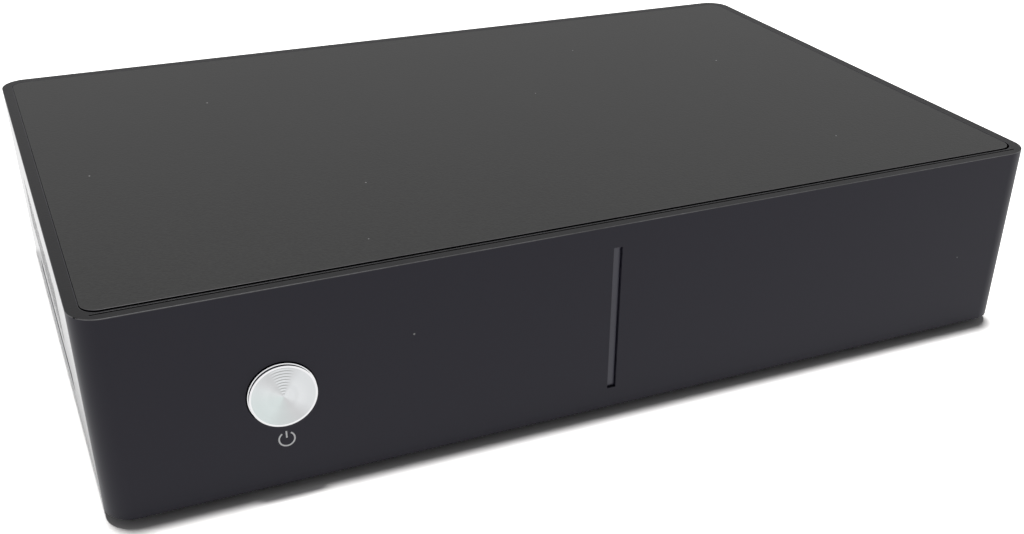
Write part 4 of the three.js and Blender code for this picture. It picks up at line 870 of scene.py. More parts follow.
groove_front = housing.low.y + GROOVE_INSET


def row_places(count, pitch):
    """Evenly spaced distances about zero."""
    return [(at - (count - 1) / 2) * pitch for at in range(count)]


hole = 2 * (button_radius + BUTTON_GAP)
openings = [
    mouth(hole, hole, hole / 2, HOLE_FLARE, through,
          housing.face(FRONT, x=button.middle.x, z=button.middle.z), 24),
    mouth(SLOT_WIDTH, slot_high - slot_low, *SLOT_EDGE, through,
          housing.face(FRONT, x=guide.middle.x, z=(slot_low + slot_high) / 2))]
for side in (LEFT, RIGHT):
    for off in row_places(VENT_COUNT, VENT_PITCH):
        vent_face = housing.face(side, y=housing.middle.y + off, z=VENT_MIDDLE)
        openings.append(mouth(*VENT, through, vent_face, FINE_STEPS))
openings += [
    mouth(*CARD_MOUTH, through, housing.face(LEFT, y=reader.middle.y, z=reader.middle.z), FINE_STEPS),
    mouth(2 * (body_half.x - WINDOW_SIDE), WINDOW_HIGH - WINDOW_LOW, *WINDOW_EDGE,
          WALL + WINDOW_BEHIND, housing.face(REAR, z=(WINDOW_LOW + WINDOW_HIGH) / 2), FINE_STEPS),
    mouth(2 * (body_half.x - GROOVE_END), GROOVE_WIDTH, *GROOVE_EDGE, GROOVE_DEPTH,
          housing.face(UP, y=groove_front + GROOVE_WIDTH / 2))]
shell = add_piece("shell", [loft(shell_loops, closed=True)], "shell_plastic", "rim_plastic", "painted_edge_highlight",
                  "painted_gap_shade", joins=[shell_bosses], cuts=[panel_bores, openings], replaced=["housing_shell"])
print("shell:", len(shell.data.polygons), "faces")

# %% [markdown]
# The shell has four looks. Its rim is matt on top, its outer top edge gets a pale painted highlight,
# and the groove and the pocket behind the plate are painted near-black as painted shade. The rest is
# satin. Each face is told apart by where it is and by which way it looks.

# %% Shell looks
NEAR = 0.02 * MM
SATIN, MATT, PAINTED_HIGHLIGHT, PAINTED_SHADE = range(4)
LOOKS_UP = 0.97
LEANS_UP = 0.15


def shell_look(middle, normal):
    out = normal.x * middle.x + normal.y * (middle.y - housing.middle.y)
    in_groove = -NEAR < middle.y - groove_front < GROOVE_WIDTH + NEAR
    if middle.z > top - NEAR and normal.z > LOOKS_UP:
        return MATT
    # The outer top edge round gets the painted highlight, and in the groove's mouth the painted shade.
    if middle.z > top - OUTER_ROUND and normal.z > LEANS_UP and out > 0:
        return PAINTED_SHADE if in_groove else PAINTED_HIGHLIGHT
    # Faces in the groove and in the pocket behind the plate get the painted shade.
    if middle.z > top - GROOVE_DEPTH - NEAR and in_groove:
        return PAINTED_SHADE
    if ledge_top - NEAR < middle.z < top - NEAR and (out < 0 or normal.z > LOOKS_UP):
        return PAINTED_SHADE
    return SATIN


look_counts = [0, 0, 0, 0]
for polygon in shell.data.polygons:
    polygon.material_index = shell_look(polygon.center, polygon.normal)
    polygon.use_smooth = polygon.material_index != MATT
    look_counts[polygon.material_index] += 1
print("satin, matt, shiny and black faces:", look_counts)

# %% [markdown]
# The top plate is steel, a millimetre and a half thick, let into the rim. It fits closely at the
# sides and the back, and leaves a dark gap along the front. Its edge is nearly sharp: a round of
# a sixteenth of a millimetre gives the thin line of light behind that gap in the picture, and that
# round along the front is painted pale as a painted highlight. The plate's upright sides are painted
# near-black as painted shade.

# %% Top plate
PLATE_INSET = RIM + 0.05 * MM
PLATE_SET_BACK = 0.12 * MM
PLATE_ROUND = 0.06 * MM
PLATE_FACE, PLATE_FRONT_EDGE, PLATE_SIDE = range(3)
plate_front_extra = plate.low.y - housing.low.y - PLATE_INSET + PLATE_SET_BACK
plate_section = [(PLATE_ROUND, plate.low.z), (0, plate.low.z + PLATE_ROUND)]
plate_section += [(inset, plate.high.z - depth) for inset, depth in fillet_back(PLATE_ROUND, 3)]
plate_loops = [body_loop(PLATE_INSET + inset, height, plate_front_extra) for inset, height in plate_section]
plate_piece = add_piece("plate", [loft(plate_loops)], "plate_paint", "painted_edge_highlight", "painted_gap_shade",
                        replaced=["top_plate"])
# Front edge rounds get the painted highlight, and the upright sides the painted shade.
for polygon in plate_piece.data.polygons:
    upright = abs(polygon.normal.z) < 0.1
    front_edge = polygon.normal.y < -0.2 and not upright and polygon.normal.z > 0
    polygon.material_index = PLATE_SIDE if upright else PLATE_FRONT_EDGE if front_edge else PLATE_FACE
print("plate:", len(plate_piece.data.polygons), "faces")

# %% [markdown]
# The button's cap is turned from bar: a flat face with shallow scallops that the tool leaves, a
# flat polished ring round it, and a narrow shoulder three quarters of a millimetre behind, which
# shows as a second thin line of light at the upper left. The scallops are real here, a few
# thousandths of a millimetre deep, because a mirror-like face shows a slope before it shows a depth.

# %% Button cap
CAP_SHOULDER = 0.11 * MM
CAP_SHOULDER_DEPTH = 0.74 * MM
CAP_RING = 0.36 * MM
CAP_EDGE = 0.02 * MM
SCALLOP_DEPTH = 0.004 * MM
SCALLOP_STEPS = 8
ring_radius = button_radius - CAP_SHOULDER
face_radius = ring_radius - CAP_RING

scallop_count = int(face_radius / SCALLOP_PITCH * SCALLOP_STEPS)
cap_pairs = [(0, 0)]
for at in range(1, scallop_count + 1):
    radius = at * SCALLOP_PITCH / SCALLOP_STEPS
    cap_pairs.append((radius, -SCALLOP_DEPTH * (0.5 - 0.5 * math.cos(2 * math.pi * radius / SCALLOP_PITCH))))
cap_pairs += [(face_radius, 0), (ring_radius - CAP_EDGE, 0), (ring_radius, -CAP_EDGE),
              (ring_radius, -CAP_SHOULDER_DEPTH), (button_radius - CAP_EDGE, -CAP_SHOULDER_DEPTH),
              (button_radius, -CAP_SHOULDER_DEPTH - CAP_EDGE), (button_radius, -button.size.y),
              (0, -button.size.y)]
cap = add_piece("button_cap", [turned(cap_pairs, button.face(FRONT), 96)], "button_aluminium", "button_rim",
                replaced=["power_button_cap"], body="power_button")
for polygon in cap.data.polygons:
    reach = math.hypot(polygon.center.x - button.middle.x, polygon.center.z - button.middle.z)
    polygon.material_index = int(reach > face_radius - CAP_EDGE)
print("cap:", len(cap.data.polygons), "faces,", scallop_count, "rings on its face")

# %% [markdown]
# Behind the cap sits a plastic carrier, whose flange stops the button in its hole and which keeps
# its CAD shape. A coil spring pushes it out. It is wound here as one wire with flat ends.

# %% Button spring
SPRING_WIRE = 0.3 * MM
SPRING_TURNS = 4
SPRING_STEPS = 28
spring_box = NodeBox("power_button_spring")
coil_radius = spring_box.size.z / 2 - SPRING_WIRE
wire_front = spring_box.low.y + SPRING_WIRE
wire_rear = spring_box.high.y - SPRING_WIRE
wire_circle = [Vector((coil_radius, 0, 0)) + point for point in round_loop(SPRING_WIRE, 0, 10)]
spring_loops = []
for step in range(SPRING_TURNS * SPRING_STEPS + 1):
    y = wire_front + (wire_rear - wire_front) * step / (SPRING_TURNS * SPRING_STEPS)
    turn = Matrix.Rotation(2 * math.pi * step / SPRING_STEPS, 4, "Y")
    place = Matrix.Translation((button.middle.x, y, button.middle.z)) @ turn
    spring_loops.append([place @ point for point in wire_circle])
spring = make_object("return_spring", [loft(spring_loops)])
spring.data.materials.append(FINISHES["spring_steel"])
spring.data.shade_smooth()
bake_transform(spring)
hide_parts("power_button_spring")
print("spring:", len(spring.data.polygons), "faces, length in mm:", round(spring_box.size.y / MM, 2))

# %% [markdown]
# The light guide is a bar of smoke-grey resin in the slot, set back from the face, with a flange
# behind the wall and two stubs that fetch the light from the lamps.

# %% Light guide
GUIDE_RECESS = 0.65 * MM
GUIDE_PLAY = 0.05 * MM
GUIDE_EDGE = 0.12 * MM
GUIDE_BAR_REACH = 0.6 * MM
GUIDE_FLANGE = 1.2 * MM
GUIDE_STUB = 2.8 * MM
STUB_MARGIN = 0.25 * MM
bar_half = SLOT_WIDTH / 2 - GUIDE_PLAY
guide_x = guide.middle.x
bar_low = (guide_x - bar_half, housing.low.y + GUIDE_RECESS, slot_low + GUIDE_PLAY)
bar_high = (guide_x + bar_half, front_wall + GUIDE_BAR_REACH, slot_high - GUIDE_PLAY)
guide_bar = soft_box(bar_low, bar_high, GUIDE_EDGE, 3)
guide_flange = soft_box((guide.low.x, front_wall, guide.low.z),
                        (guide.high.x, front_wall + GUIDE_FLANGE, guide.high.z))
guide_stubs = []
for node in ("status_lamp_lower", "status_lamp_upper"):
    lamp = NodeBox(node)
    low = (guide_x - GUIDE_STUB / 2, front_wall + GUIDE_FLANGE / 2, lamp.low.z - STUB_MARGIN)
    guide_stubs.append(soft_box(low, (guide_x + GUIDE_STUB / 2, guide.high.y, lamp.high.z + STUB_MARGIN)))
guide_piece = add_piece("guide", [guide_bar], "guide_plastic", joins=[[guide_flange], guide_stubs],
                        replaced=["light_guide"])
print("guide:", len(guide_piece.data.polygons), "faces")

# %% [markdown]
# Below the button the moulding carries one small print: the plain standby sign, a broken ring with
# a bar in the gap, in pale ink. It is a film of ink a few hundredths of a millimetre thick.

# %% Standby sign
SIGN_DROP = 9.6 * MM
SIGN_RADIUS = 1.45 * MM
SIGN_GAP_DEGREES = 34
SIGN_STEPS = 40
SIGN_BAR_START = 0.25 * MM
INK_STROKE = 0.3 * MM
INK = 0.02 * MM
INK_SEAT = 0.01 * MM


def ink_strip(path, matrix):
    """A film of ink along a path of points in the plane, with a flat outline on both sides."""
    left, right = [], []
    for at, point in enumerate(path):
        along = (path[min(at + 1, len(path) - 1)] - path[max(at - 1, 0)]).normalized()
        across = Vector((-along.y, along.x, 0)) * INK_STROKE / 2
        left.append(point + across)
        right.append(point - across)
    outline = left + right[::-1]
    faces = [[point + Vector((0, 0, height)) for point in outline] for height in (-INK_SEAT, INK)]
    return loft(faces, matrix)


sign_face = housing.face(FRONT, x=button.middle.x, z=button.middle.z - SIGN_DROP)
ring_path = []
for step in range(SIGN_STEPS + 1):
    turn = math.radians(90 + SIGN_GAP_DEGREES + (360 - 2 * SIGN_GAP_DEGREES) * step / SIGN_STEPS)
    ring_path.append(Vector((math.cos(turn), math.sin(turn), 0)) * SIGN_RADIUS)
bar_path = [Vector((0, SIGN_BAR_START, 0)), Vector((0, SIGN_RADIUS + SIGN_BAR_START, 0))]
sign = add_piece("standby_sign", [ink_strip(path, sign_face) for path in (ring_path, bar_path)], "mark_ink",
                 slot="guide_plastic")
print("sign:", len(sign.data.polygons), "faces")

# %% [markdown]
# Four rubber feet are stuck under the tray. A foot is pressed in a mould, so it has a generous
# round below and a shallow dish in its sole, which grips the shelf by its rim. The four are copies
# of one mesh, set down where the frame has its nodes.

# %% Feet
FOOT_ROUND = 0.6 * MM
DISH_FLAT = 4.6 * MM
DISH_EDGE = 5.2 * MM
DISH_DEPTH = 0.25 * MM
CORNERS = ("front_left", "front_right", "rear_left", "rear_right")


def take_mesh(model):
    """Keeps only the mesh of a model, so that it can be set down as often as needed."""
    mesh = model.data
    bpy.data.objects.remove(model)
    return mesh


foot_size = NodeBox("foot_front_left").size
foot_radius = foot_size.x / 2
foot_pairs = [(0, -foot_size.z), (foot_radius, -foot_size.z)]
foot_pairs += [(foot_radius - inset, -depth) for inset, depth in fillet_back(FOOT_ROUND)]
foot_pairs += [(DISH_EDGE, 0), (DISH_FLAT, -DISH_DEPTH), (0, -DISH_DEPTH)]
foot_mesh = take_mesh(make_object("rubber_foot", [turned(foot_pairs, sides=56)]))
for corner in CORNERS:
    foot = set_down("rubber_foot_" + corner, foot_mesh, NodeBox("foot_" + corner).face(DOWN))
    dress(foot, ["foot_rubber"], replaced=["foot_" + corner])
print("feet:", len(foot_mesh.polygons), "faces each")

# %% [markdown]
# Twelve screws hold it together, of three lengths. They are one design: a domed head, a cross
# recess pressed into it and a rolled thread. Each length is made once and copied. A screw's length
# is the length of its node, so the frame decides which one goes where.

# %% Screws
SCREW_HEAD = 1.2 * MM
SCREW_DOME = [(0, 1.2), (1.3, 1.15), (2.0, 0.98), (2.4, 0.7), (2.57, 0.38), (2.6, 0.2), (2.52, 0), (1.3, 0)]
SCREW_SHANK = 1.3 * MM
THREAD_ROOT = 1.06 * MM
THREAD_PITCH = 0.75 * MM
THREAD_POINT = 0.8 * MM
POINT_RADIUS = 0.78 * MM
POINT_CHAMFER = 0.05 * MM
CROSS_SPAN = 2.7 * MM
CROSS_WIDTH = 0.62 * MM
CROSS_CORNER = 0.1 * MM
CROSS_LEVELS = ((0.55, 0.45 * MM), (1.0, 1.3 * MM))
SCREW_NODES = [("base_screw_" + corner, DOWN) for corner in CORNERS]
SCREW_NODES += [("board_screw_" + corner, UP) for corner in CORNERS]
SCREW_NODES += [(kind + side, REAR) for kind in ("front_board_screw_", "panel_screw_") for side in SIDES]


def screw_mesh(length):
    """A screw whose head rests on the local XY plane and whose shank goes down from it."""
    pairs = [(radius * MM, height * MM) for radius, height in SCREW_DOME]
    depth = THREAD_PITCH / 2
    while depth < length - THREAD_POINT:
        pairs += [(THREAD_ROOT, -depth), (SCREW_SHANK, -depth - THREAD_PITCH / 2)]
        depth += THREAD_PITCH
    pairs += [(THREAD_ROOT, POINT_CHAMFER - length), (POINT_RADIUS, -length), (0, -length)]
    screw = make_object("domed_screw", [turned(pairs)])
    arm = [rounded_loop(CROSS_SPAN / 2 * share, CROSS_WIDTH / 2 * share, CROSS_CORNER, height, 2)
           for share, height in CROSS_LEVELS]
    carve(screw, [[loft(arm, Matrix.Rotation(turn, 4, "Z"))] for turn in (0, math.pi / 2)])
    return take_mesh(screw)


screw_meshes = {}
for node, out in SCREW_NODES:
    box = NodeBox(node)
    total = abs(box.size.dot(out))
    length = round((total - SCREW_HEAD) / MM, 2)
    if length not in screw_meshes:
        screw_meshes[length] = screw_mesh(length * MM)
    place = facing(out, box.middle + out * (total / 2 - SCREW_HEAD))
    dress(set_down(node.replace("screw", "domed_screw"), screw_meshes[length], place), ["screw_steel"],
          replaced=[node])
print("screw lengths in mm:", sorted(screw_meshes))

# %% [markdown]
# The tray closes the box from below. It is a plain moulding with eighteen long vents, sunk holes for
# the four base screws and a standoff near each corner for the main board. A fine round runs along
# its lower edge and into every opening, as drafts and radii do on a real tool.

# %% Tray
TRAY_ROUND = 0.3 * MM
STANDOFF_RADIUS = 3 * MM
FLOOR_VENT = (2.4 * MM, 34 * MM, 1.2 * MM, 0.2 * MM)
FLOOR_VENT_PITCH = 6 * MM
FLOOR_VENT_COUNT = 9
FLOOR_VENT_ROW = 23 * MM
SINK_RADIUS = 2.85 * MM
SINK_DEPTH = 1.4 * MM
SINK_ROUND = 0.2 * MM
SHANK_HOLE = 1.55 * MM
tray = NodeBox("base_tray")
tray_inset = tray.low.x - housing.low.x
below = tray.low.z - CUT_REACH


def peg(radius, high, low, place, sides=28):
    """An upright cylinder between two heights, at the X and Y of a place."""
    return turned([(0, high), (radius, high), (radius, low), (0, low)],
                  Matrix.Translation((place.x, place.y, 0)), sides)


tray_section = [(inset, tray.low.z + depth) for inset, depth in fillet(TRAY_ROUND, 3)]
tray_section += [(inset, tray_top - depth) for inset, depth in fillet_back(TRAY_ROUND, 2)]
tray_loops = [body_loop(tray_inset + inset, height, steps=8) for inset, height in tray_section]
sink_pairs = [(0, tray_top + CUT_REACH), (SHANK_HOLE, tray_top + CUT_REACH),
              (SHANK_HOLE, tray.low.z + SINK_DEPTH), (SINK_RADIUS, tray.low.z + SINK_DEPTH)]
sink_pairs += [(SINK_RADIUS + grown, tray.low.z - CUT_LIFT + depth)
               for grown, depth in fillet_back(SINK_ROUND, 2)]
sink_pairs += [(SINK_RADIUS + SINK_ROUND, below), (0, below)]
standoffs = []
tray_cuts = []
for corner in CORNERS:
    board_screw = NodeBox("board_screw_" + corner).middle
    base_screw = NodeBox("base_screw_" + corner).middle
    standoffs.append(peg(STANDOFF_RADIUS, tray.high.z, tray.low.z + TRAY_THICKNESS / 2, board_screw))
    tray_cuts.append(peg(THREAD_RADIUS, tray.high.z + CUT_REACH, below, board_screw, 24))
    tray_cuts.append(turned(sink_pairs, Matrix.Translation((base_screw.x, base_screw.y, 0))))
for side in (-1, 1):
    y = housing.middle.y + side * FLOOR_VENT_ROW
    tray_cuts += [mouth(*FLOOR_VENT, TRAY_THICKNESS + CUT_REACH, tray.face(DOWN, x=x, y=y), 4)
                  for x in row_places(FLOOR_VENT_COUNT, FLOOR_VENT_PITCH)]
tray_piece = add_piece("tray", [loft(tray_loops)], "tray_plastic", joins=[standoffs], cuts=[tray_cuts],
                       replaced=["base_tray"])
print("tray:", len(tray_piece.data.polygons), "faces")

# %% [markdown]
# The rear panel is a steel sheet, punched for each socket and sprayed with a fine black grain. It
# stands behind the shell's rear window. The holes follow the sockets' own boxes, a little larger.

# %% Rear panel
PANEL_GAP = 0.3 * MM
PANEL_CORNER = 1.0 * MM
PANEL_ROUND = 0.12 * MM
PUNCH_ROUND = 0.08 * MM
SOCKET_CORNER = 0.5 * MM
SWITCH_CORNER = 0.4 * MM
BARREL_RADIUS = 4.7 * MM
JACK_COLLAR = 2.9 * MM
SWITCH_BOX = (8.6 * MM, 14.4 * MM)
SQUARE_SOCKETS = ("hdmi_shell", "usb_shell", "network_socket", "optical_socket", "power_inlet")
panel = NodeBox("rear_panel")
aerial = NodeBox("aerial_connector")


def punch(node, width, height, radius, steps=3):
    """A tool for the hole of a node in the panel, a little wider and higher than what goes through."""
    middle = NodeBox(node).middle
    return mouth(width + 2 * PANEL_GAP, height + 2 * PANEL_GAP, radius, PUNCH_ROUND,
                 panel.size.y + CUT_REACH, panel.face(REAR, x=middle.x, z=middle.z), steps)


punches = [punch(node, NodeBox(node).size.x, NodeBox(node).size.z, SOCKET_CORNER) for node in SQUARE_SOCKETS]
punches.append(punch("rocker_switch_body", *SWITCH_BOX, SWITCH_CORNER))
round_sockets = [("picture_sound_jack", JACK_COLLAR), ("aerial_connector", aerial.size.x / 2)]
round_sockets += [("lnb_connector_" + side, BARREL_RADIUS) for side in SIDES]
round_sockets += [("panel_screw_" + side, SHANK_HOLE - PANEL_GAP) for side in SIDES]
punches += [punch(node, 2 * radius, 2 * radius, radius + PANEL_GAP, 10) for node, radius in round_sockets]
panel_loops = [rounded_loop(panel.size.x / 2 - inset, panel.size.z / 2 - inset, PANEL_CORNER, depth)
               for inset, depth in both_fillets(-panel.size.y / 2, panel.size.y / 2, PANEL_ROUND, 2)]
panel_piece = add_piece("panel", [loft(panel_loops, facing(REAR, panel.middle))], "panel_paint",
                        cuts=[punches], replaced=["rear_panel"])
print("panel:", len(panel_piece.data.polygons), "faces,", len(punches), "holes")

# %% [markdown]
# Two shapes come back below. The first is an outline with rounded corners that can be drawn in by
# an inset, for folded sheet and for nuts. The second is a screw thread: it is turned as usual, but
# each point's radius also depends on its angle, so the crest climbs by one pitch each turn.

# %% Soft outlines and threads
BARREL_SIDES = 40
BARREL_PITCH = 0.79 * MM
THREAD_SLOPE = 1.25


def soft_polygon(corners, radius, depth, steps=3, inset=0.0):
    """A closed outline with each corner rounded, at a depth, drawn in from its edges by an inset."""
    count = len(corners)
    drawn = []
    for at in range(count):
        before, here, after = corners[at - 1], corners[at], corners[(at + 1) % count]
        first = Vector((here[0] - before[0], here[1] - before[1])).normalized()
        second = Vector((after[0] - here[0], after[1] - here[1])).normalized()
        inward_first = Vector((-first.y, first.x))
        inward_second = Vector((-second.y, second.x))
        reach = inset / max(1 + inward_first.dot(inward_second), 0.1)
        drawn.append(Vector(here) + (inward_first + inward_second) * reach)
    points = []
    for at, here in enumerate(drawn):
        to_before, to_after = drawn[at - 1] - here, drawn[(at + 1) % count] - here
        half_angle = to_before.angle(to_after) / 2
        reach = min(radius / math.tan(half_angle), 0.45 * to_before.length, 0.45 * to_after.length)
        start = here + to_before.normalized() * reach
        end = here + to_after.normalized() * reach
        for step in range(steps + 1):
            share = step / steps
            point = start * (1 - share) ** 2 + here * 2 * share * (1 - share) + end * share ** 2
            points.append(Vector((point.x, point.y, depth)))
    return points


def threaded_loop(radius, depth, cut):
    """A circle at a depth whose radius follows a screw thread of the given cut depth."""
    points = []
    for side in range(BARREL_SIDES):
        turn = 2 * math.pi * side / BARREL_SIDES
        tooth = abs(2 * ((depth / BARREL_PITCH - side / BARREL_SIDES) % 1.0) - 1)
        here = radius - cut * min(1.0, THREAD_SLOPE * tooth)
        points.append(Vector((here * math.cos(turn), here * math.sin(turn), depth)))
    return points


print("a soft triangle has", len(soft_polygon([(0, 0), (1, 0), (0, 1)], 0.1, 0)), "points")

# %% [markdown]
# A screw-on aerial connector has a real thread, because the eye sees at once when rings stand in
# for one. A hexagon with chamfered corners clamps it to the panel, and a pale core closes its
# mouth round the hole for the cable's wire. Both connectors are copies of one mesh.

# %% Screw-on aerial connectors
THREAD_CUT = 0.36 * MM
THREAD_STEPS = 6
THREAD_RELIEF = 0.3 * MM
LEAD_IN = 0.5 * MM
BARREL_MOUTH = 3.4 * MM
BARREL_MOUTH_DEPTH = 5 * MM
MOUTH_EDGE = 0.1 * MM
BARREL_LIP = ((0.0, 0.3 * MM), (0.12 * MM, 0.03 * MM), (0.2 * MM, 0.0))
CORE_GAP = 0.02 * MM
CORE_DEPTH = 0.6 * MM
CORE_HOLE = 0.6 * MM
CORE_CHAMFER = (0.15 * MM, 0.12 * MM)
CORE_BACK = BARREL_MOUTH_DEPTH + 0.5 * MM
HEX_RADIUS = 6.3 * MM
HEX_CORNER = 0.35 * MM
HEX_DEPTH = 1.8 * MM
HEX_UNDER = ((0.1 * MM, 0.0), (0.0, 0.1 * MM))
HEX_CHAMFER = ((0.0, 0.4 * MM), (0.12 * MM, 0.18 * MM), (0.55 * MM, 0.0))
barrel_box = NodeBox("lnb_connector_left")
barrel_length = barrel_box.size.y
thread_root = BARREL_RADIUS - THREAD_CUT
hex_start = panel.high.y - barrel_box.low.y
hex_end = hex_start + HEX_DEPTH
thread_start = hex_end + THREAD_RELIEF
thread_length = barrel_length - LEAD_IN - thread_start

barrel_pairs = [(BARREL_RADIUS, 0), (BARREL_RADIUS, hex_start + HEX_DEPTH / 2), (thread_root, hex_end)]
mouth_pairs = [(thread_root - inset, depth) for inset, depth in BARREL_LIP]
mouth_pairs += [(BARREL_MOUTH + MOUTH_EDGE, 0), (BARREL_MOUTH, MOUTH_EDGE),
                (BARREL_MOUTH, BARREL_MOUTH_DEPTH)]
barrel_loops = [round_loop(radius, depth, BARREL_SIDES) for radius, depth in barrel_pairs]
thread_count = int(thread_length / BARREL_PITCH * THREAD_STEPS)
for at in range(thread_count + 1):
    growth = min(1.0, at / THREAD_STEPS, (thread_count - at + 2) / THREAD_STEPS)
    depth = thread_start + thread_length * at / thread_count
    barrel_loops.append(threaded_loop(BARREL_RADIUS - THREAD_CUT * (1 - growth), depth, THREAD_CUT * growth))
barrel_loops += [round_loop(radius, barrel_length - depth, BARREL_SIDES) for radius, depth in mouth_pairs]

hexagon = [(HEX_RADIUS * math.cos(math.radians(60 * at)), HEX_RADIUS * math.sin(math.radians(60 * at)))
           for at in range(6)]
hex_section = [(inset, hex_start + depth) for inset, depth in HEX_UNDER]
hex_section += [(inset, hex_end - depth) for inset, depth in HEX_CHAMFER]
hex_loops = [soft_polygon(hexagon, HEX_CORNER, depth, 3, inset) for inset, depth in hex_section]
connector_mesh = take_mesh(make_object("screw_on_connector", [loft(barrel_loops), loft(hex_loops)]))

core_pairs = [(0, BARREL_MOUTH_DEPTH), (CORE_HOLE, BARREL_MOUTH_DEPTH),
              (CORE_HOLE, CORE_DEPTH + CORE_CHAMFER[1]), (CORE_HOLE + CORE_CHAMFER[0], CORE_DEPTH),
              (BARREL_MOUTH - CORE_GAP, CORE_DEPTH), (BARREL_MOUTH - CORE_GAP, CORE_BACK), (0, CORE_BACK)]
core_pairs = [(radius, barrel_length - depth) for radius, depth in core_pairs]
core_mesh = take_mesh(make_object("connector_core", [turned(core_pairs, sides=32)]))
for side in SIDES:
    box = NodeBox("lnb_connector_" + side)
    place = box.face(REAR, y=box.low.y)
    dress(set_down("screw_on_connector_" + side, connector_mesh, place), ["nickel_plate"],
          replaced=["lnb_connector_" + side])
    dress(set_down("connector_core_" + side, core_mesh, place), ["white_plastic"], slot="cream_plastic")
print("connector:", len(connector_mesh.polygons), "faces")

# %% [markdown]
# The push-in aerial connector is a plain turned tube with a rolled lip. A pale insulator closes its
# bottom and holds the centre pin, which is a thin tube itself.

# %% Push-in aerial connector
TUBE_BORE = 4.8 * MM
TUBE_BORE_DEPTH = 8 * MM
TUBE_OUTER_ROUND = 0.35 * MM
TUBE_INNER_ROUND = 0.3 * MM
PIN_RADIUS = 1.7 * MM
PIN_HOLE = 1.2 * MM
PIN_SHORT = 1 * MM
PIN_LIP = ((0.0, 0.3 * MM), (0.12 * MM, 0.06 * MM), (0.25 * MM, 0.0))
PIN_HOLE_LEAD = 0.05 * MM
INSULATOR = 0.8 * MM
INSULATOR_RADIUS = TUBE_BORE - 0.02 * MM
INSULATOR_CHAMFER = (0.18 * MM, 0.1 * MM)
tube_radius = aerial.size.x / 2
tube_tip = aerial.face(REAR)
insulator_top = INSULATOR - TUBE_BORE_DEPTH
pin_root = insulator_top - INSULATOR / 2

tube_pairs = [(0, -aerial.size.y), (tube_radius, -aerial.size.y)]
tube_pairs += [(tube_radius - inset, -depth) for inset, depth in fillet_back(TUBE_OUTER_ROUND)]
tube_pairs += [(TUBE_BORE + inset, -depth) for inset, depth in fillet(TUBE_INNER_ROUND)]
tube_pairs += [(TUBE_BORE, -TUBE_BORE_DEPTH), (0, -TUBE_BORE_DEPTH)]
insulator_pairs = [(0, -TUBE_BORE_DEPTH), (INSULATOR_RADIUS, -TUBE_BORE_DEPTH),
                   (INSULATOR_RADIUS, insulator_top - INSULATOR_CHAMFER[1]),
                   (INSULATOR_RADIUS - INSULATOR_CHAMFER[0], insulator_top), (0, insulator_top)]
pin_pairs = [(PIN_RADIUS, pin_root)]
pin_pairs += [(PIN_RADIUS - inset, -PIN_SHORT - depth) for inset, depth in PIN_LIP]
pin_pairs += [(PIN_HOLE, -PIN_SHORT - PIN_HOLE_LEAD), (PIN_HOLE, pin_root)]
add_piece("push_in_connector", [turned(tube_pairs, tube_tip, 48)], "nickel_plate",
          replaced=["aerial_connector"])
add_piece("push_in_insulator", [turned(insulator_pairs, tube_tip, 48)], "white_plastic", slot="cream_plastic")
add_piece("push_in_pin", [turned(pin_pairs, tube_tip, 32, closed=True)], "nickel_plate")
print("push-in connector length in mm:", round(aerial.size.y / MM, 2))

# %% [markdown]
# Three small shapes stand in most sockets: a tongue, a row of thin contacts that lie on it, and a
# bar of sheet or wire bent along a path. Each is a solid that can be placed as often as needed.

# %% Tongues, contacts and bent bars
TONGUE_EDGE = 0.2 * MM
CONTACT_PROUD = 0.03 * MM
CONTACT_EDGE = 0.02 * MM
TIGHT_BEND = 0.1 * MM
FIT = 0.05 * MM


def tongue(width, height, tip, root, matrix):
    """A bar from a root depth out to a tip depth, with its tip rounded."""
    section = [(0.0, root), (0.0, tip - TONGUE_EDGE), (TONGUE_EDGE * 0.3, tip - TONGUE_EDGE * 0.3),
               (TONGUE_EDGE, tip)]
    return loft([rounded_loop(width / 2 - inset, height / 2 - inset, TONGUE_EDGE, depth, 3)
                 for inset, depth in section], matrix)


def contact_row(count, pitch, width, length, start, height, matrix):
    """Thin strips side by side at a height, from a start depth inwards."""
    ends = (start - length, start)
    loops = [rounded_loop(width / 2, CONTACT_PROUD, CONTACT_EDGE, depth, 1) for depth in ends]
    return [loft(loops, matrix @ Matrix.Translation((x, height, 0))) for x in row_places(count, pitch)]


def bent_bar(half_width, low, high, path, matrix):
    """A bar of rectangular section along a path of depth and height pairs."""
    corners = ((-half_width, low), (half_width, low), (half_width, high), (-half_width, high))
    loops = [[Vector((x, height + rise, depth)) for x, rise in corners] for depth, height in path]
    return loft(loops, matrix)


print("contacts stand proud in mm by", round(CONTACT_PROUD / MM, 2))

# %% [markdown]
# The picture socket's shell is folded from thin sheet, so its outside follows its mouth, with two
# slanted lower corners. A black tongue stands in it and carries gilded contacts on both faces.
# Two spring tabs are punched out of the top.

# %% Picture socket
PICTURE_WALL = 0.45 * MM
PICTURE_EDGE = 0.1 * MM
PICTURE_BEND = 0.5 * MM
PICTURE_SLANT = 1.9 * MM
PICTURE_TONGUE = (11 * MM, 1.3 * MM)
PICTURE_TONGUE_TIP = -1.5 * MM
PICTURE_BACK = 2 * MM
PICTURE_CONTACT = (1.0 * MM, 0.5 * MM, 6 * MM)
PICTURE_CONTACT_START = PICTURE_TONGUE_TIP - 0.7 * MM
PICTURE_SPRING = [(depth * MM, height * MM) for depth, height in (
    (0.0, 0.05), (-1.2, -0.25), (-2.4, -0.42), (-3.6, -0.2), (-4.4, 0.05))]
PICTURE_SPRING_OFF = 3.2 * MM
PICTURE_SPRING_DEPTH = 2.2 * MM
PICTURE_SPRING_HALF = 0.9 * MM
SPRING_SHEET = 0.16 * MM
picture = NodeBox("hdmi_shell")
picture_face = picture.face(REAR)
wide, high = picture.size.x / 2, picture.size.z / 2
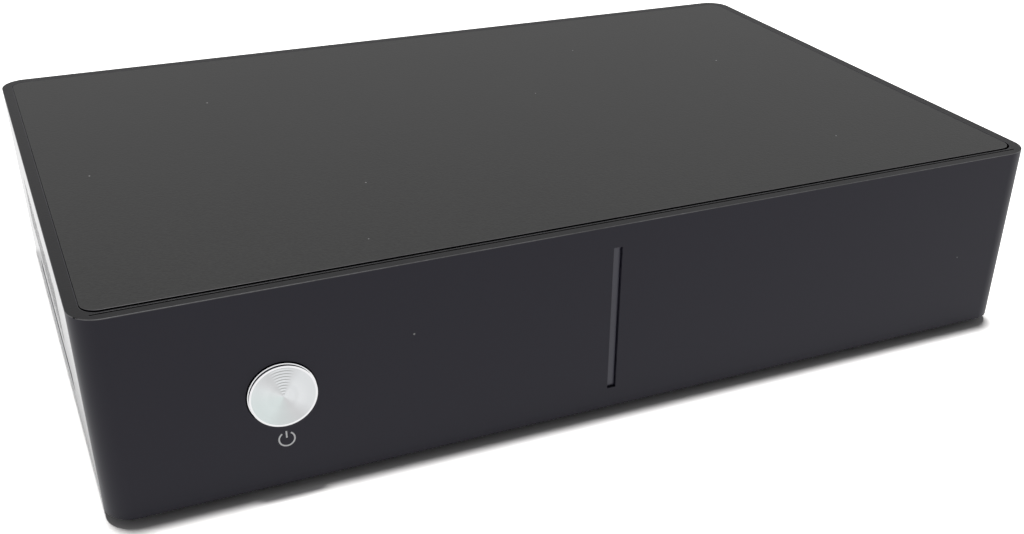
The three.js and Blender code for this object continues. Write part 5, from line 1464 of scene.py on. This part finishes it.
picture_corners = [(PICTURE_SLANT - wide, -high), (wide - PICTURE_SLANT, -high), (wide, PICTURE_SLANT - high),
                   (wide, high), (-wide, high), (-wide, PICTURE_SLANT - high)]

lip = [(0.0, -PICTURE_EDGE), (PICTURE_EDGE / 3, -PICTURE_EDGE / 4), (PICTURE_EDGE, 0.0)]
sheet_section = [(0.0, -picture.size.y)] + lip
sheet_section += [(PICTURE_WALL - inset, depth) for inset, depth in reversed(lip)]
sheet_section += [(PICTURE_WALL, -picture.size.y)]
sheet_loops = [soft_polygon(picture_corners, max(PICTURE_BEND - inset, TIGHT_BEND), depth, 4, inset)
               for inset, depth in sheet_section]
picture_shell = add_piece("picture_socket_shell", [loft(sheet_loops, picture_face, closed=True)],
                          "nickel_plate", slot="tin_plate", replaced=["hdmi_shell"])

back_loops = [soft_polygon(picture_corners, TIGHT_BEND, depth, 1, PICTURE_WALL + FIT)
              for depth in (-picture.size.y, PICTURE_BACK - picture.size.y)]
picture_tongue = tongue(*PICTURE_TONGUE, PICTURE_TONGUE_TIP, PICTURE_BACK / 2 - picture.size.y, picture_face)
add_piece("picture_socket_insert", [picture_tongue, loft(back_loops, picture_face)], "socket_plastic",
          replaced=["hdmi_insert"])
picture_contacts = []
for count, height in ((10, PICTURE_TONGUE[1] / 2), (9, -PICTURE_TONGUE[1] / 2)):
    picture_contacts += contact_row(count, *PICTURE_CONTACT, PICTURE_CONTACT_START, height, picture_face)
add_piece("picture_socket_contacts", picture_contacts, "contact_gold", slot="nickel_plate")
picture_springs = []
for x in (-PICTURE_SPRING_OFF, PICTURE_SPRING_OFF):
    place = picture_face @ Matrix.Translation((x, high - PICTURE_WALL, -PICTURE_SPRING_DEPTH))
    picture_springs.append(bent_bar(PICTURE_SPRING_HALF, 0, SPRING_SHEET, PICTURE_SPRING, place))
add_piece("picture_socket_springs", picture_springs, "nickel_plate", slot="tin_plate")
print("picture socket:", len(picture_shell.data.polygons), "faces in its shell")

# %% [markdown]
# Two data sockets are stacked in one tin shell. Each port has a tongue in its upper half with four
# contacts below it, and sprung tabs in its floor. The shell is one block with two ports cut
# through, as the two storeys are folded together and look like one from behind.

# %% Data sockets
DATA_PORT = (12.4 * MM, 5.2 * MM)
DATA_PORT_EDGE = (0.25 * MM, 0.12 * MM)
DATA_SPACING = 7.9 * MM
DATA_WALL = 0.4 * MM
DATA_EDGE = 0.25 * MM
BACK_EDGE = 0.05 * MM
DATA_BACK = 2 * MM
DATA_TONGUE = (11 * MM, 1.9 * MM)
DATA_TONGUE_TIP = -1.2 * MM
DATA_TONGUE_LAP = 0.3 * MM
DATA_CONTACT = (2.3 * MM, 1.0 * MM, 8 * MM)
DATA_CONTACT_START = DATA_TONGUE_TIP - 0.8 * MM
DATA_SPRING_OFF = 3 * MM
DATA_SPRING_DEPTH = 2 * MM
DATA_SPRING_HALF = 1 * MM
DATA_SPRING = [(depth * MM, height * MM) for depth, height in (
    (0.0, 0.0), (-1.4, 0.3), (-3.0, 0.5), (-4.6, 0.3), (-5.6, 0.02))]
data = NodeBox("usb_shell")


def back_block(gap, reach):
    """The block that fills the shell's back, drawn in by a gap and longer behind by a reach."""
    inset = Vector((DATA_WALL + gap, 0, DATA_WALL + gap))
    high = Vector((data.high.x, data.low.y + DATA_BACK - gap, data.high.z)) - inset
    return soft_box(data.low + inset - Vector((0, reach, 0)), high, BACK_EDGE, 1)


data_ports = []
data_insert = [back_block(FIT, 0)]
data_contacts = []
data_springs = []
for side in (-1, 1):
    port_face = data.face(REAR, z=data.middle.z + side * DATA_SPACING / 2)
    data_ports.append(mouth(*DATA_PORT, *DATA_PORT_EDGE, data.size.y - DATA_BACK + CUT_REACH, port_face))
    tongue_lift = DATA_PORT[1] / 2 - DATA_TONGUE_LAP - DATA_TONGUE[1] / 2
    tongue_face = port_face @ Matrix.Translation((0, tongue_lift, 0))
    data_insert.append(tongue(*DATA_TONGUE, DATA_TONGUE_TIP, DATA_BACK / 2 - data.size.y, tongue_face))
    data_contacts += contact_row(4, *DATA_CONTACT, DATA_CONTACT_START, -DATA_TONGUE[1] / 2, tongue_face)
    for x in (-DATA_SPRING_OFF, DATA_SPRING_OFF):
        place = port_face @ Matrix.Translation((x, -DATA_PORT[1] / 2, -DATA_SPRING_DEPTH))
        data_springs.append(bent_bar(DATA_SPRING_HALF, 0, -SPRING_SHEET, DATA_SPRING, place))
data_shell = add_piece("data_socket_shell", [soft_box(data.low, data.high, DATA_EDGE, 3)], "tin_plate",
                       cuts=[data_ports, [back_block(0, CUT_REACH)]], replaced=["usb_shell"])
add_piece("data_socket_insert", data_insert, "cream_plastic", replaced=["usb_insert"])
add_piece("data_socket_contacts", data_contacts, "contact_gold", slot="nickel_plate")
add_piece("data_socket_springs", data_springs, "tin_plate")
print("data sockets:", len(data_shell.data.polygons), "faces in their shell")

# %% [markdown]
# The network socket is a tin can round a black lining. Its port steps down in the middle for the
# plug's latch, eight gilded wires hang down from its roof and slant to the back, and two small
# windows above it let the link lamps show.

# %% Network socket
NETWORK_PORT = (11.9 * MM, 8 * MM)
NETWORK_PORT_DEPTH = 12 * MM
NETWORK_PORT_LIFT = 3.2 * MM
LATCH = (6 * MM, 1.6 * MM)
LATCH_STEP = (8.2 * MM, 0.7 * MM)
LINING = 0.35 * MM
LINING_LIP = ((LINING - FIT, -0.15 * MM), (LINING / 2, -0.05 * MM), (0.05 * MM, -0.1 * MM),
              (0.0, -0.3 * MM))
WIRE_COUNT = 8
WIRE_PITCH = 1.02 * MM
WIRE_SIDE = 0.3 * MM
WIRE_PATH = ((-1.6 * MM, 0.3 * MM), (-2.4 * MM, 0.9 * MM), (-8.6 * MM, 3.6 * MM), (-9.2 * MM, 3.7 * MM),
             (-NETWORK_PORT_DEPTH, 0.3 * MM))
LAMP_WINDOW = (2.6 * MM, 1.1 * MM)
LAMP_WINDOW_EDGE = (0.2 * MM, 0.08 * MM)
LAMP_BACK = 0.6 * MM
LAMP_FRONT = 0.08 * MM
LAMP_EDGE = 0.12 * MM
BLOCK_EDGE = 0.3 * MM
LAMP_WINDOW_INSET = 2.7 * MM
network = NodeBox("network_socket")
port_bottom = network.low.z + NETWORK_PORT_LIFT
port_roof = NETWORK_PORT[1] / 2
network_face = network.face(REAR, z=port_bottom + port_roof)
window_z = (network.high.z + port_bottom + NETWORK_PORT[1] + LINING) / 2
window_off = network.size.x / 2 - LAMP_WINDOW_INSET


def stepped_port(grown, depth):
    """The port's outline at a depth, grown outwards: wide above, with latch steps below."""
    wide, step_wide, latch_wide = (size / 2 + grown for size in (NETWORK_PORT[0], LATCH_STEP[0], LATCH[0]))
    roof = port_roof + grown
    step, low = -roof - LATCH_STEP[1], -roof - LATCH[1]
    right = [(latch_wide, low), (latch_wide, step), (step_wide, step), (step_wide, -roof), (wide, -roof),
             (wide, roof)]
    left = [(-x, y) for x, y in reversed(right)]
    return soft_polygon(left[-1:] + right + left[:-1], TIGHT_BEND, depth, 2)


can_cuts = [loft([stepped_port(LINING, depth) for depth in (-NETWORK_PORT_DEPTH - LINING, CUT_REACH)],
                 network_face)]
link_lamps = []
for x in (network.middle.x - window_off, network.middle.x + window_off):
    window_face = network.face(REAR, x=x, z=window_z)
    can_cuts.append(mouth(*LAMP_WINDOW, *LAMP_WINDOW_EDGE, LAMP_BACK, window_face))
    half = Vector((LAMP_WINDOW[0] / 2 - FIT, 0, LAMP_WINDOW[1] / 2 - FIT))
    back, front = [Vector((x, network.high.y - depth, window_z)) for depth in (LAMP_BACK, LAMP_FRONT)]
    link_lamps.append(soft_box(back - half, front + half, LAMP_EDGE))
can = add_piece("network_can", [soft_box(network.low, network.high, BLOCK_EDGE, 3)], "tin_plate",
                cuts=[can_cuts], replaced=["network_socket"])
lining_section = [(LINING - FIT, FIT - NETWORK_PORT_DEPTH - LINING), *LINING_LIP, (0.0, -NETWORK_PORT_DEPTH)]
add_piece("network_lining", [loft([stepped_port(*pair) for pair in lining_section], network_face)],
          "socket_plastic")
wire_path = [(depth, port_roof - drop) for depth, drop in WIRE_PATH]
wires = [bent_bar(WIRE_SIDE / 2, -WIRE_SIDE / 2, WIRE_SIDE / 2, wire_path,
                  network_face @ Matrix.Translation((x, 0, 0))) for x in row_places(WIRE_COUNT, WIRE_PITCH)]
add_piece("network_wires", wires, "contact_gold", slot="nickel_plate")
add_piece("network_lamps", link_lamps, "lamp_plastic")
print("network can:", len(can.data.polygons), "faces")

# %% [markdown]
# The optical socket is a black moulding with a square port. Its shutter hangs inside the mouth on a
# pin and swings inwards, so it rides on a body of its own. The leaf has a raised middle, which
# guides the plug's tip.

# %% Optical socket and shutter
OPTICAL_PORT = 6.2 * MM
OPTICAL_PORT_DEPTH = 9 * MM
OPTICAL_PORT_LIFT = 1.8 * MM
OPTICAL_EDGE = (0.12 * MM, 0.12 * MM)
HINGE_RADIUS = 0.3 * MM
LEAF_THICKNESS = 0.5 * MM
LEAF_RAISED = 0.08 * MM
LEAF_EDGE = 0.08 * MM
RAISED_EDGE = 0.07 * MM
RAISED_SIDE = 1.0 * MM
RAISED_END = 0.8 * MM
optical = NodeBox("optical_socket")
optical_face = optical.face(REAR, z=optical.low.z + OPTICAL_PORT_LIFT + OPTICAL_PORT / 2)
optical_port = mouth(OPTICAL_PORT, OPTICAL_PORT, *OPTICAL_EDGE, OPTICAL_PORT_DEPTH, optical_face)
add_piece("optical_housing", [soft_box(optical.low, optical.high, BLOCK_EDGE, 3)], "socket_plastic",
          cuts=[[optical_port]], replaced=["optical_socket"])

leaf = NodeBox("optical_shutter")
leaf_top = leaf.high.z - HINGE_RADIUS
leaf_front = leaf.middle.y - LEAF_THICKNESS / 2
leaf_rear = leaf.middle.y + LEAF_THICKNESS / 2
leaf_low = (leaf.low.x, leaf_front, leaf.low.z)
leaf_solids = [
    soft_box(leaf_low, (leaf.high.x, leaf_rear - LEAF_RAISED, leaf_top), LEAF_EDGE),
    soft_box((leaf.low.x + RAISED_SIDE, leaf_rear - 2 * LEAF_RAISED, leaf.low.z + RAISED_END),
             (leaf.high.x - RAISED_SIDE, leaf_rear, leaf_top - RAISED_END), RAISED_EDGE),
    turned([(HINGE_RADIUS, 0), (HINGE_RADIUS, leaf.size.x)], leaf.face(RIGHT, x=leaf.low.x, z=leaf_top), 16)]
leaf_piece = add_piece("shutter_leaf", leaf_solids, "chip_plastic", replaced=["optical_shutter"],
                       body="shutter")
print("shutter leaf:", len(leaf_piece.data.polygons), "faces")

# %% [markdown]
# The sound and picture jack has a round collar, and inside it the spring-tinned sleeve that grips
# the plug. The power inlet beside it is a square moulding with a wider bore, a sleeve of its own and
# a centre pin with a round tip.

# %% Jack and power inlet
JACK_BORE = 1.8 * MM
JACK_BORE_DEPTH = 11 * MM
JACK_EDGE = 0.25 * MM
JACK_FLARE = 0.1 * MM
COLLAR_ROUND = 0.25 * MM
COLLAR_LAP = 2 * MM
BEHIND_PANEL = 0.5 * MM
SLEEVE_WALL = 0.3 * MM
SLEEVE_LIPS = (0.06 * MM, 0.08 * MM)
JACK_SLEEVE = (SLEEVE_WALL - 0.01 * MM, 0.12 * MM, 6 * MM)
INLET_BORE = 3.2 * MM
INLET_BORE_DEPTH = 9.5 * MM
INLET_EDGE = 0.4 * MM
INLET_FLARE = 0.25 * MM
INLET_SLEEVE = (0.27 * MM, 2.2 * MM, INLET_BORE_DEPTH)
INLET_SLEEVE_BORE = INLET_BORE - 0.28 * MM
INLET_PIN = 1.05 * MM
INLET_PIN_END = -1.2 * MM
INLET_PIN_ROOT = -INLET_BORE_DEPTH - 0.5 * MM
behind_panel = panel.low.y - BEHIND_PANEL
jack = NodeBox("picture_sound_jack")
inlet = NodeBox("power_inlet")


def round_mouth(radius, flare, depth, matrix):
    """A tool for a round blind hole whose outer edge is rounded over."""
    pairs = [(0, -depth), (radius, -depth)]
    pairs += [(radius + grown, CUT_LIFT - deep) for grown, deep in fillet_back(flare)]
    pairs += [(radius + flare, CUT_REACH), (0, CUT_REACH)]
    return turned(pairs, matrix, 40)


def add_sleeve(name, bore, wall, top, bottom, matrix):
    """A thin metal lining with a rounded lip, from a top depth down to a bottom depth."""
    outer = bore + wall
    outer_lip, inner_lip = SLEEVE_LIPS
    pairs = [(outer, -bottom), (outer, -top - outer_lip), (outer - wall / 3, -top), (bore + wall / 3, -top),
             (bore, -top - inner_lip), (bore, -bottom)]
    add_piece(name, [turned(pairs, matrix, 40, closed=True)], "nickel_plate")


jack_tip = jack.face(REAR)
collar_depth = jack.high.y - behind_panel + COLLAR_LAP
collar_pairs = [(0, -collar_depth), (JACK_COLLAR, -collar_depth)]
collar_pairs += [(JACK_COLLAR - inset, -depth) for inset, depth in fillet_back(COLLAR_ROUND)] + [(0, 0)]
jack_body = soft_box(jack.low, (jack.high.x, behind_panel, jack.high.z), JACK_EDGE)
jack_hole = round_mouth(JACK_BORE + SLEEVE_WALL, JACK_FLARE, JACK_BORE_DEPTH, jack_tip)
jack_piece = add_piece("jack_housing", [jack_body], "socket_plastic", cuts=[[jack_hole]],
                       joins=[[turned(collar_pairs, jack_tip, 40)]], replaced=["picture_sound_jack"])
add_sleeve("jack_sleeve", JACK_BORE, *JACK_SLEEVE, jack_tip)

inlet_tip = inlet.face(REAR)
inlet_piece = add_piece("inlet_housing", [soft_box(inlet.low, inlet.high, INLET_EDGE, 3)], "socket_plastic",
                        cuts=[[round_mouth(INLET_BORE, INLET_FLARE, INLET_BORE_DEPTH, inlet_tip)]],
                        replaced=["power_inlet"])
add_sleeve("inlet_sleeve", INLET_SLEEVE_BORE, *INLET_SLEEVE, inlet_tip)
inlet_pin = [(0, INLET_PIN_ROOT), (INLET_PIN, INLET_PIN_ROOT)]
for degrees in (0, 25, 50, 70):
    turn = math.radians(degrees)
    inlet_pin.append((INLET_PIN * math.cos(turn), INLET_PIN_END - INLET_PIN * (1 - math.sin(turn))))
add_piece("inlet_pin", [turned(inlet_pin + [(0, INLET_PIN_END)], inlet_tip, 32)], "nickel_plate")
print("jack and inlet:", len(jack_piece.data.polygons), "and", len(inlet_piece.data.polygons), "faces")

# %% [markdown]
# The rear switch has a bezel outside the panel and a rocker in its well. The rocker's outer face is
# two shallow slopes that meet in the middle, with a bar and a ring printed near its ends, for on
# and off. It rides on its own body, since it tilts by sixteen degrees.

# %% Rocker switch
BEZEL_PROUD = 1.4 * MM
ROCKER_TILT = math.radians(8)
ROCKER_WIDTH = 6.2 * MM
ROCKER_RADIUS = 6 * MM
ROCKER_GAP = 0.3 * MM
ROCKER_VALLEY = 1.5 * MM
ROCKER_KEEL = 2.4 * MM
ROCKER_WELL = 6 * MM
ROCKER_PIVOT_DEPTH = 1 * MM
ROCKER_EDGE = 0.25 * MM
ROCKER_CORNER = 0.12 * MM
VALLEY_HALF = 0.5 * MM
VALLEY_REST = 0.02 * MM
WELL_EDGE = (0.2 * MM, 0.15 * MM)
SWITCH_EDGE = 0.2 * MM
switch = NodeBox("rocker_switch_body")
box_half = Vector((SWITCH_BOX[0] / 2, 0, SWITCH_BOX[1] / 2))
box_front = Vector((switch.middle.x, switch.low.y, switch.middle.z))
box_rear = Vector((switch.middle.x, switch.high.y - BEZEL_PROUD / 2, switch.middle.z))
bezel = soft_box((switch.low.x, switch.high.y - BEZEL_PROUD, switch.low.z), switch.high, BLOCK_EDGE, 3)
well = mouth(ROCKER_WIDTH + 2 * ROCKER_GAP, 2 * (ROCKER_RADIUS + ROCKER_GAP), *WELL_EDGE, ROCKER_WELL,
             switch.face(REAR))
add_piece("switch_bezel", [bezel], "chip_plastic", cuts=[[well]], replaced=["rocker_switch_body"],
          joins=[[soft_box(box_front - box_half, box_rear + box_half, SWITCH_EDGE)]])

pivot = Vector((switch.middle.x, switch.high.y - ROCKER_PIVOT_DEPTH, switch.middle.z))
rocker_matrix = Matrix.Translation(pivot) @ Matrix.Rotation(ROCKER_TILT, 4, "X") @ facing(RIGHT)
tip_angle = math.asin((ROCKER_VALLEY + ROCKER_RADIUS * math.tan(ROCKER_TILT)) / ROCKER_RADIUS)
keel_angle = math.asin(ROCKER_KEEL / ROCKER_RADIUS)
upper_arc = []
for step in range(9):
    turn = tip_angle - (tip_angle + keel_angle) * step / 8
    upper_arc.append((ROCKER_RADIUS * math.sin(turn), ROCKER_RADIUS * math.cos(turn)))
rocker_outline = [(x, -y) for x, y in reversed(upper_arc)]
rocker_outline += [(ROCKER_VALLEY + VALLEY_REST, y) for y in (-VALLEY_HALF, VALLEY_HALF)] + upper_arc
rocker_loops = [soft_polygon(rocker_outline, ROCKER_CORNER, depth, 2, inset)
                for inset, depth in both_fillets(-ROCKER_WIDTH / 2, ROCKER_WIDTH / 2, ROCKER_EDGE, 3)]
rocker = add_piece("rocker", [loft(rocker_loops, rocker_matrix)], "socket_plastic", slot="chip_plastic",
                   replaced=["rocker_switch_key"], body="rocker")
print("rocker:", len(rocker.data.polygons), "faces")

# %% [markdown]
# The bar and the ring lie on the rocker's two slopes. Each gets a set of axes of its own: across
# the rocker, up along the slope and straight out of it.

# %% Rocker marks
MARK_SHARE = 0.62
MARK_BAR = 0.85 * MM
MARK_RING = (0.6 * MM, 0.9 * MM)
mark_faces = []
for side in (-1, 1):
    tip = Vector((ROCKER_RADIUS * math.sin(tip_angle), side * ROCKER_RADIUS * math.cos(tip_angle), 0))
    valley = Vector((ROCKER_VALLEY, 0, 0))
    up = (tip - valley).normalized() * side
    out = Vector((up.y, -up.x, 0))
    axes = Matrix((up.cross(out), up, out)).transposed().to_4x4()
    place = Matrix.Translation(valley + (tip - valley) * MARK_SHARE)
    mark_faces.append(rocker_matrix @ place @ axes)
inner, outer = MARK_RING
ring_loops = [round_loop(radius, depth, 32) for radius, depth in (
    (inner, -INK_SEAT), (outer, -INK_SEAT), (outer, INK), (inner, INK))]
bar_ends = [Vector((0, -MARK_BAR, 0)), Vector((0, MARK_BAR, 0))]
marks_made = [loft(ring_loops, mark_faces[0], closed=True), ink_strip(bar_ends, mark_faces[1])]
marks = add_piece("rocker_marks", marks_made, "mark_ink", slot="cream_plastic", body="rocker")
print("rocker marks:", len(marks.data.polygons), "faces")

# %% [markdown]
# Everything that keeps its CAD shape still needs a real surface. Each remaining node takes the
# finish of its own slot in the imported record, so one list serves them all.

# %% Finishes of the remaining nodes
for row in frame["record"]["subparts"]:
    node = frame["nodes"][row["node"]]
    if node.hide_render:
        continue
    node.data.materials.clear()
    node.data.materials.append(FINISHES[row["material_slot"]])
kept = [name for name, node in frame["nodes"].items() if not node.hide_render]
print(len(kept), "nodes keep their shape:", ", ".join(sorted(kept)))
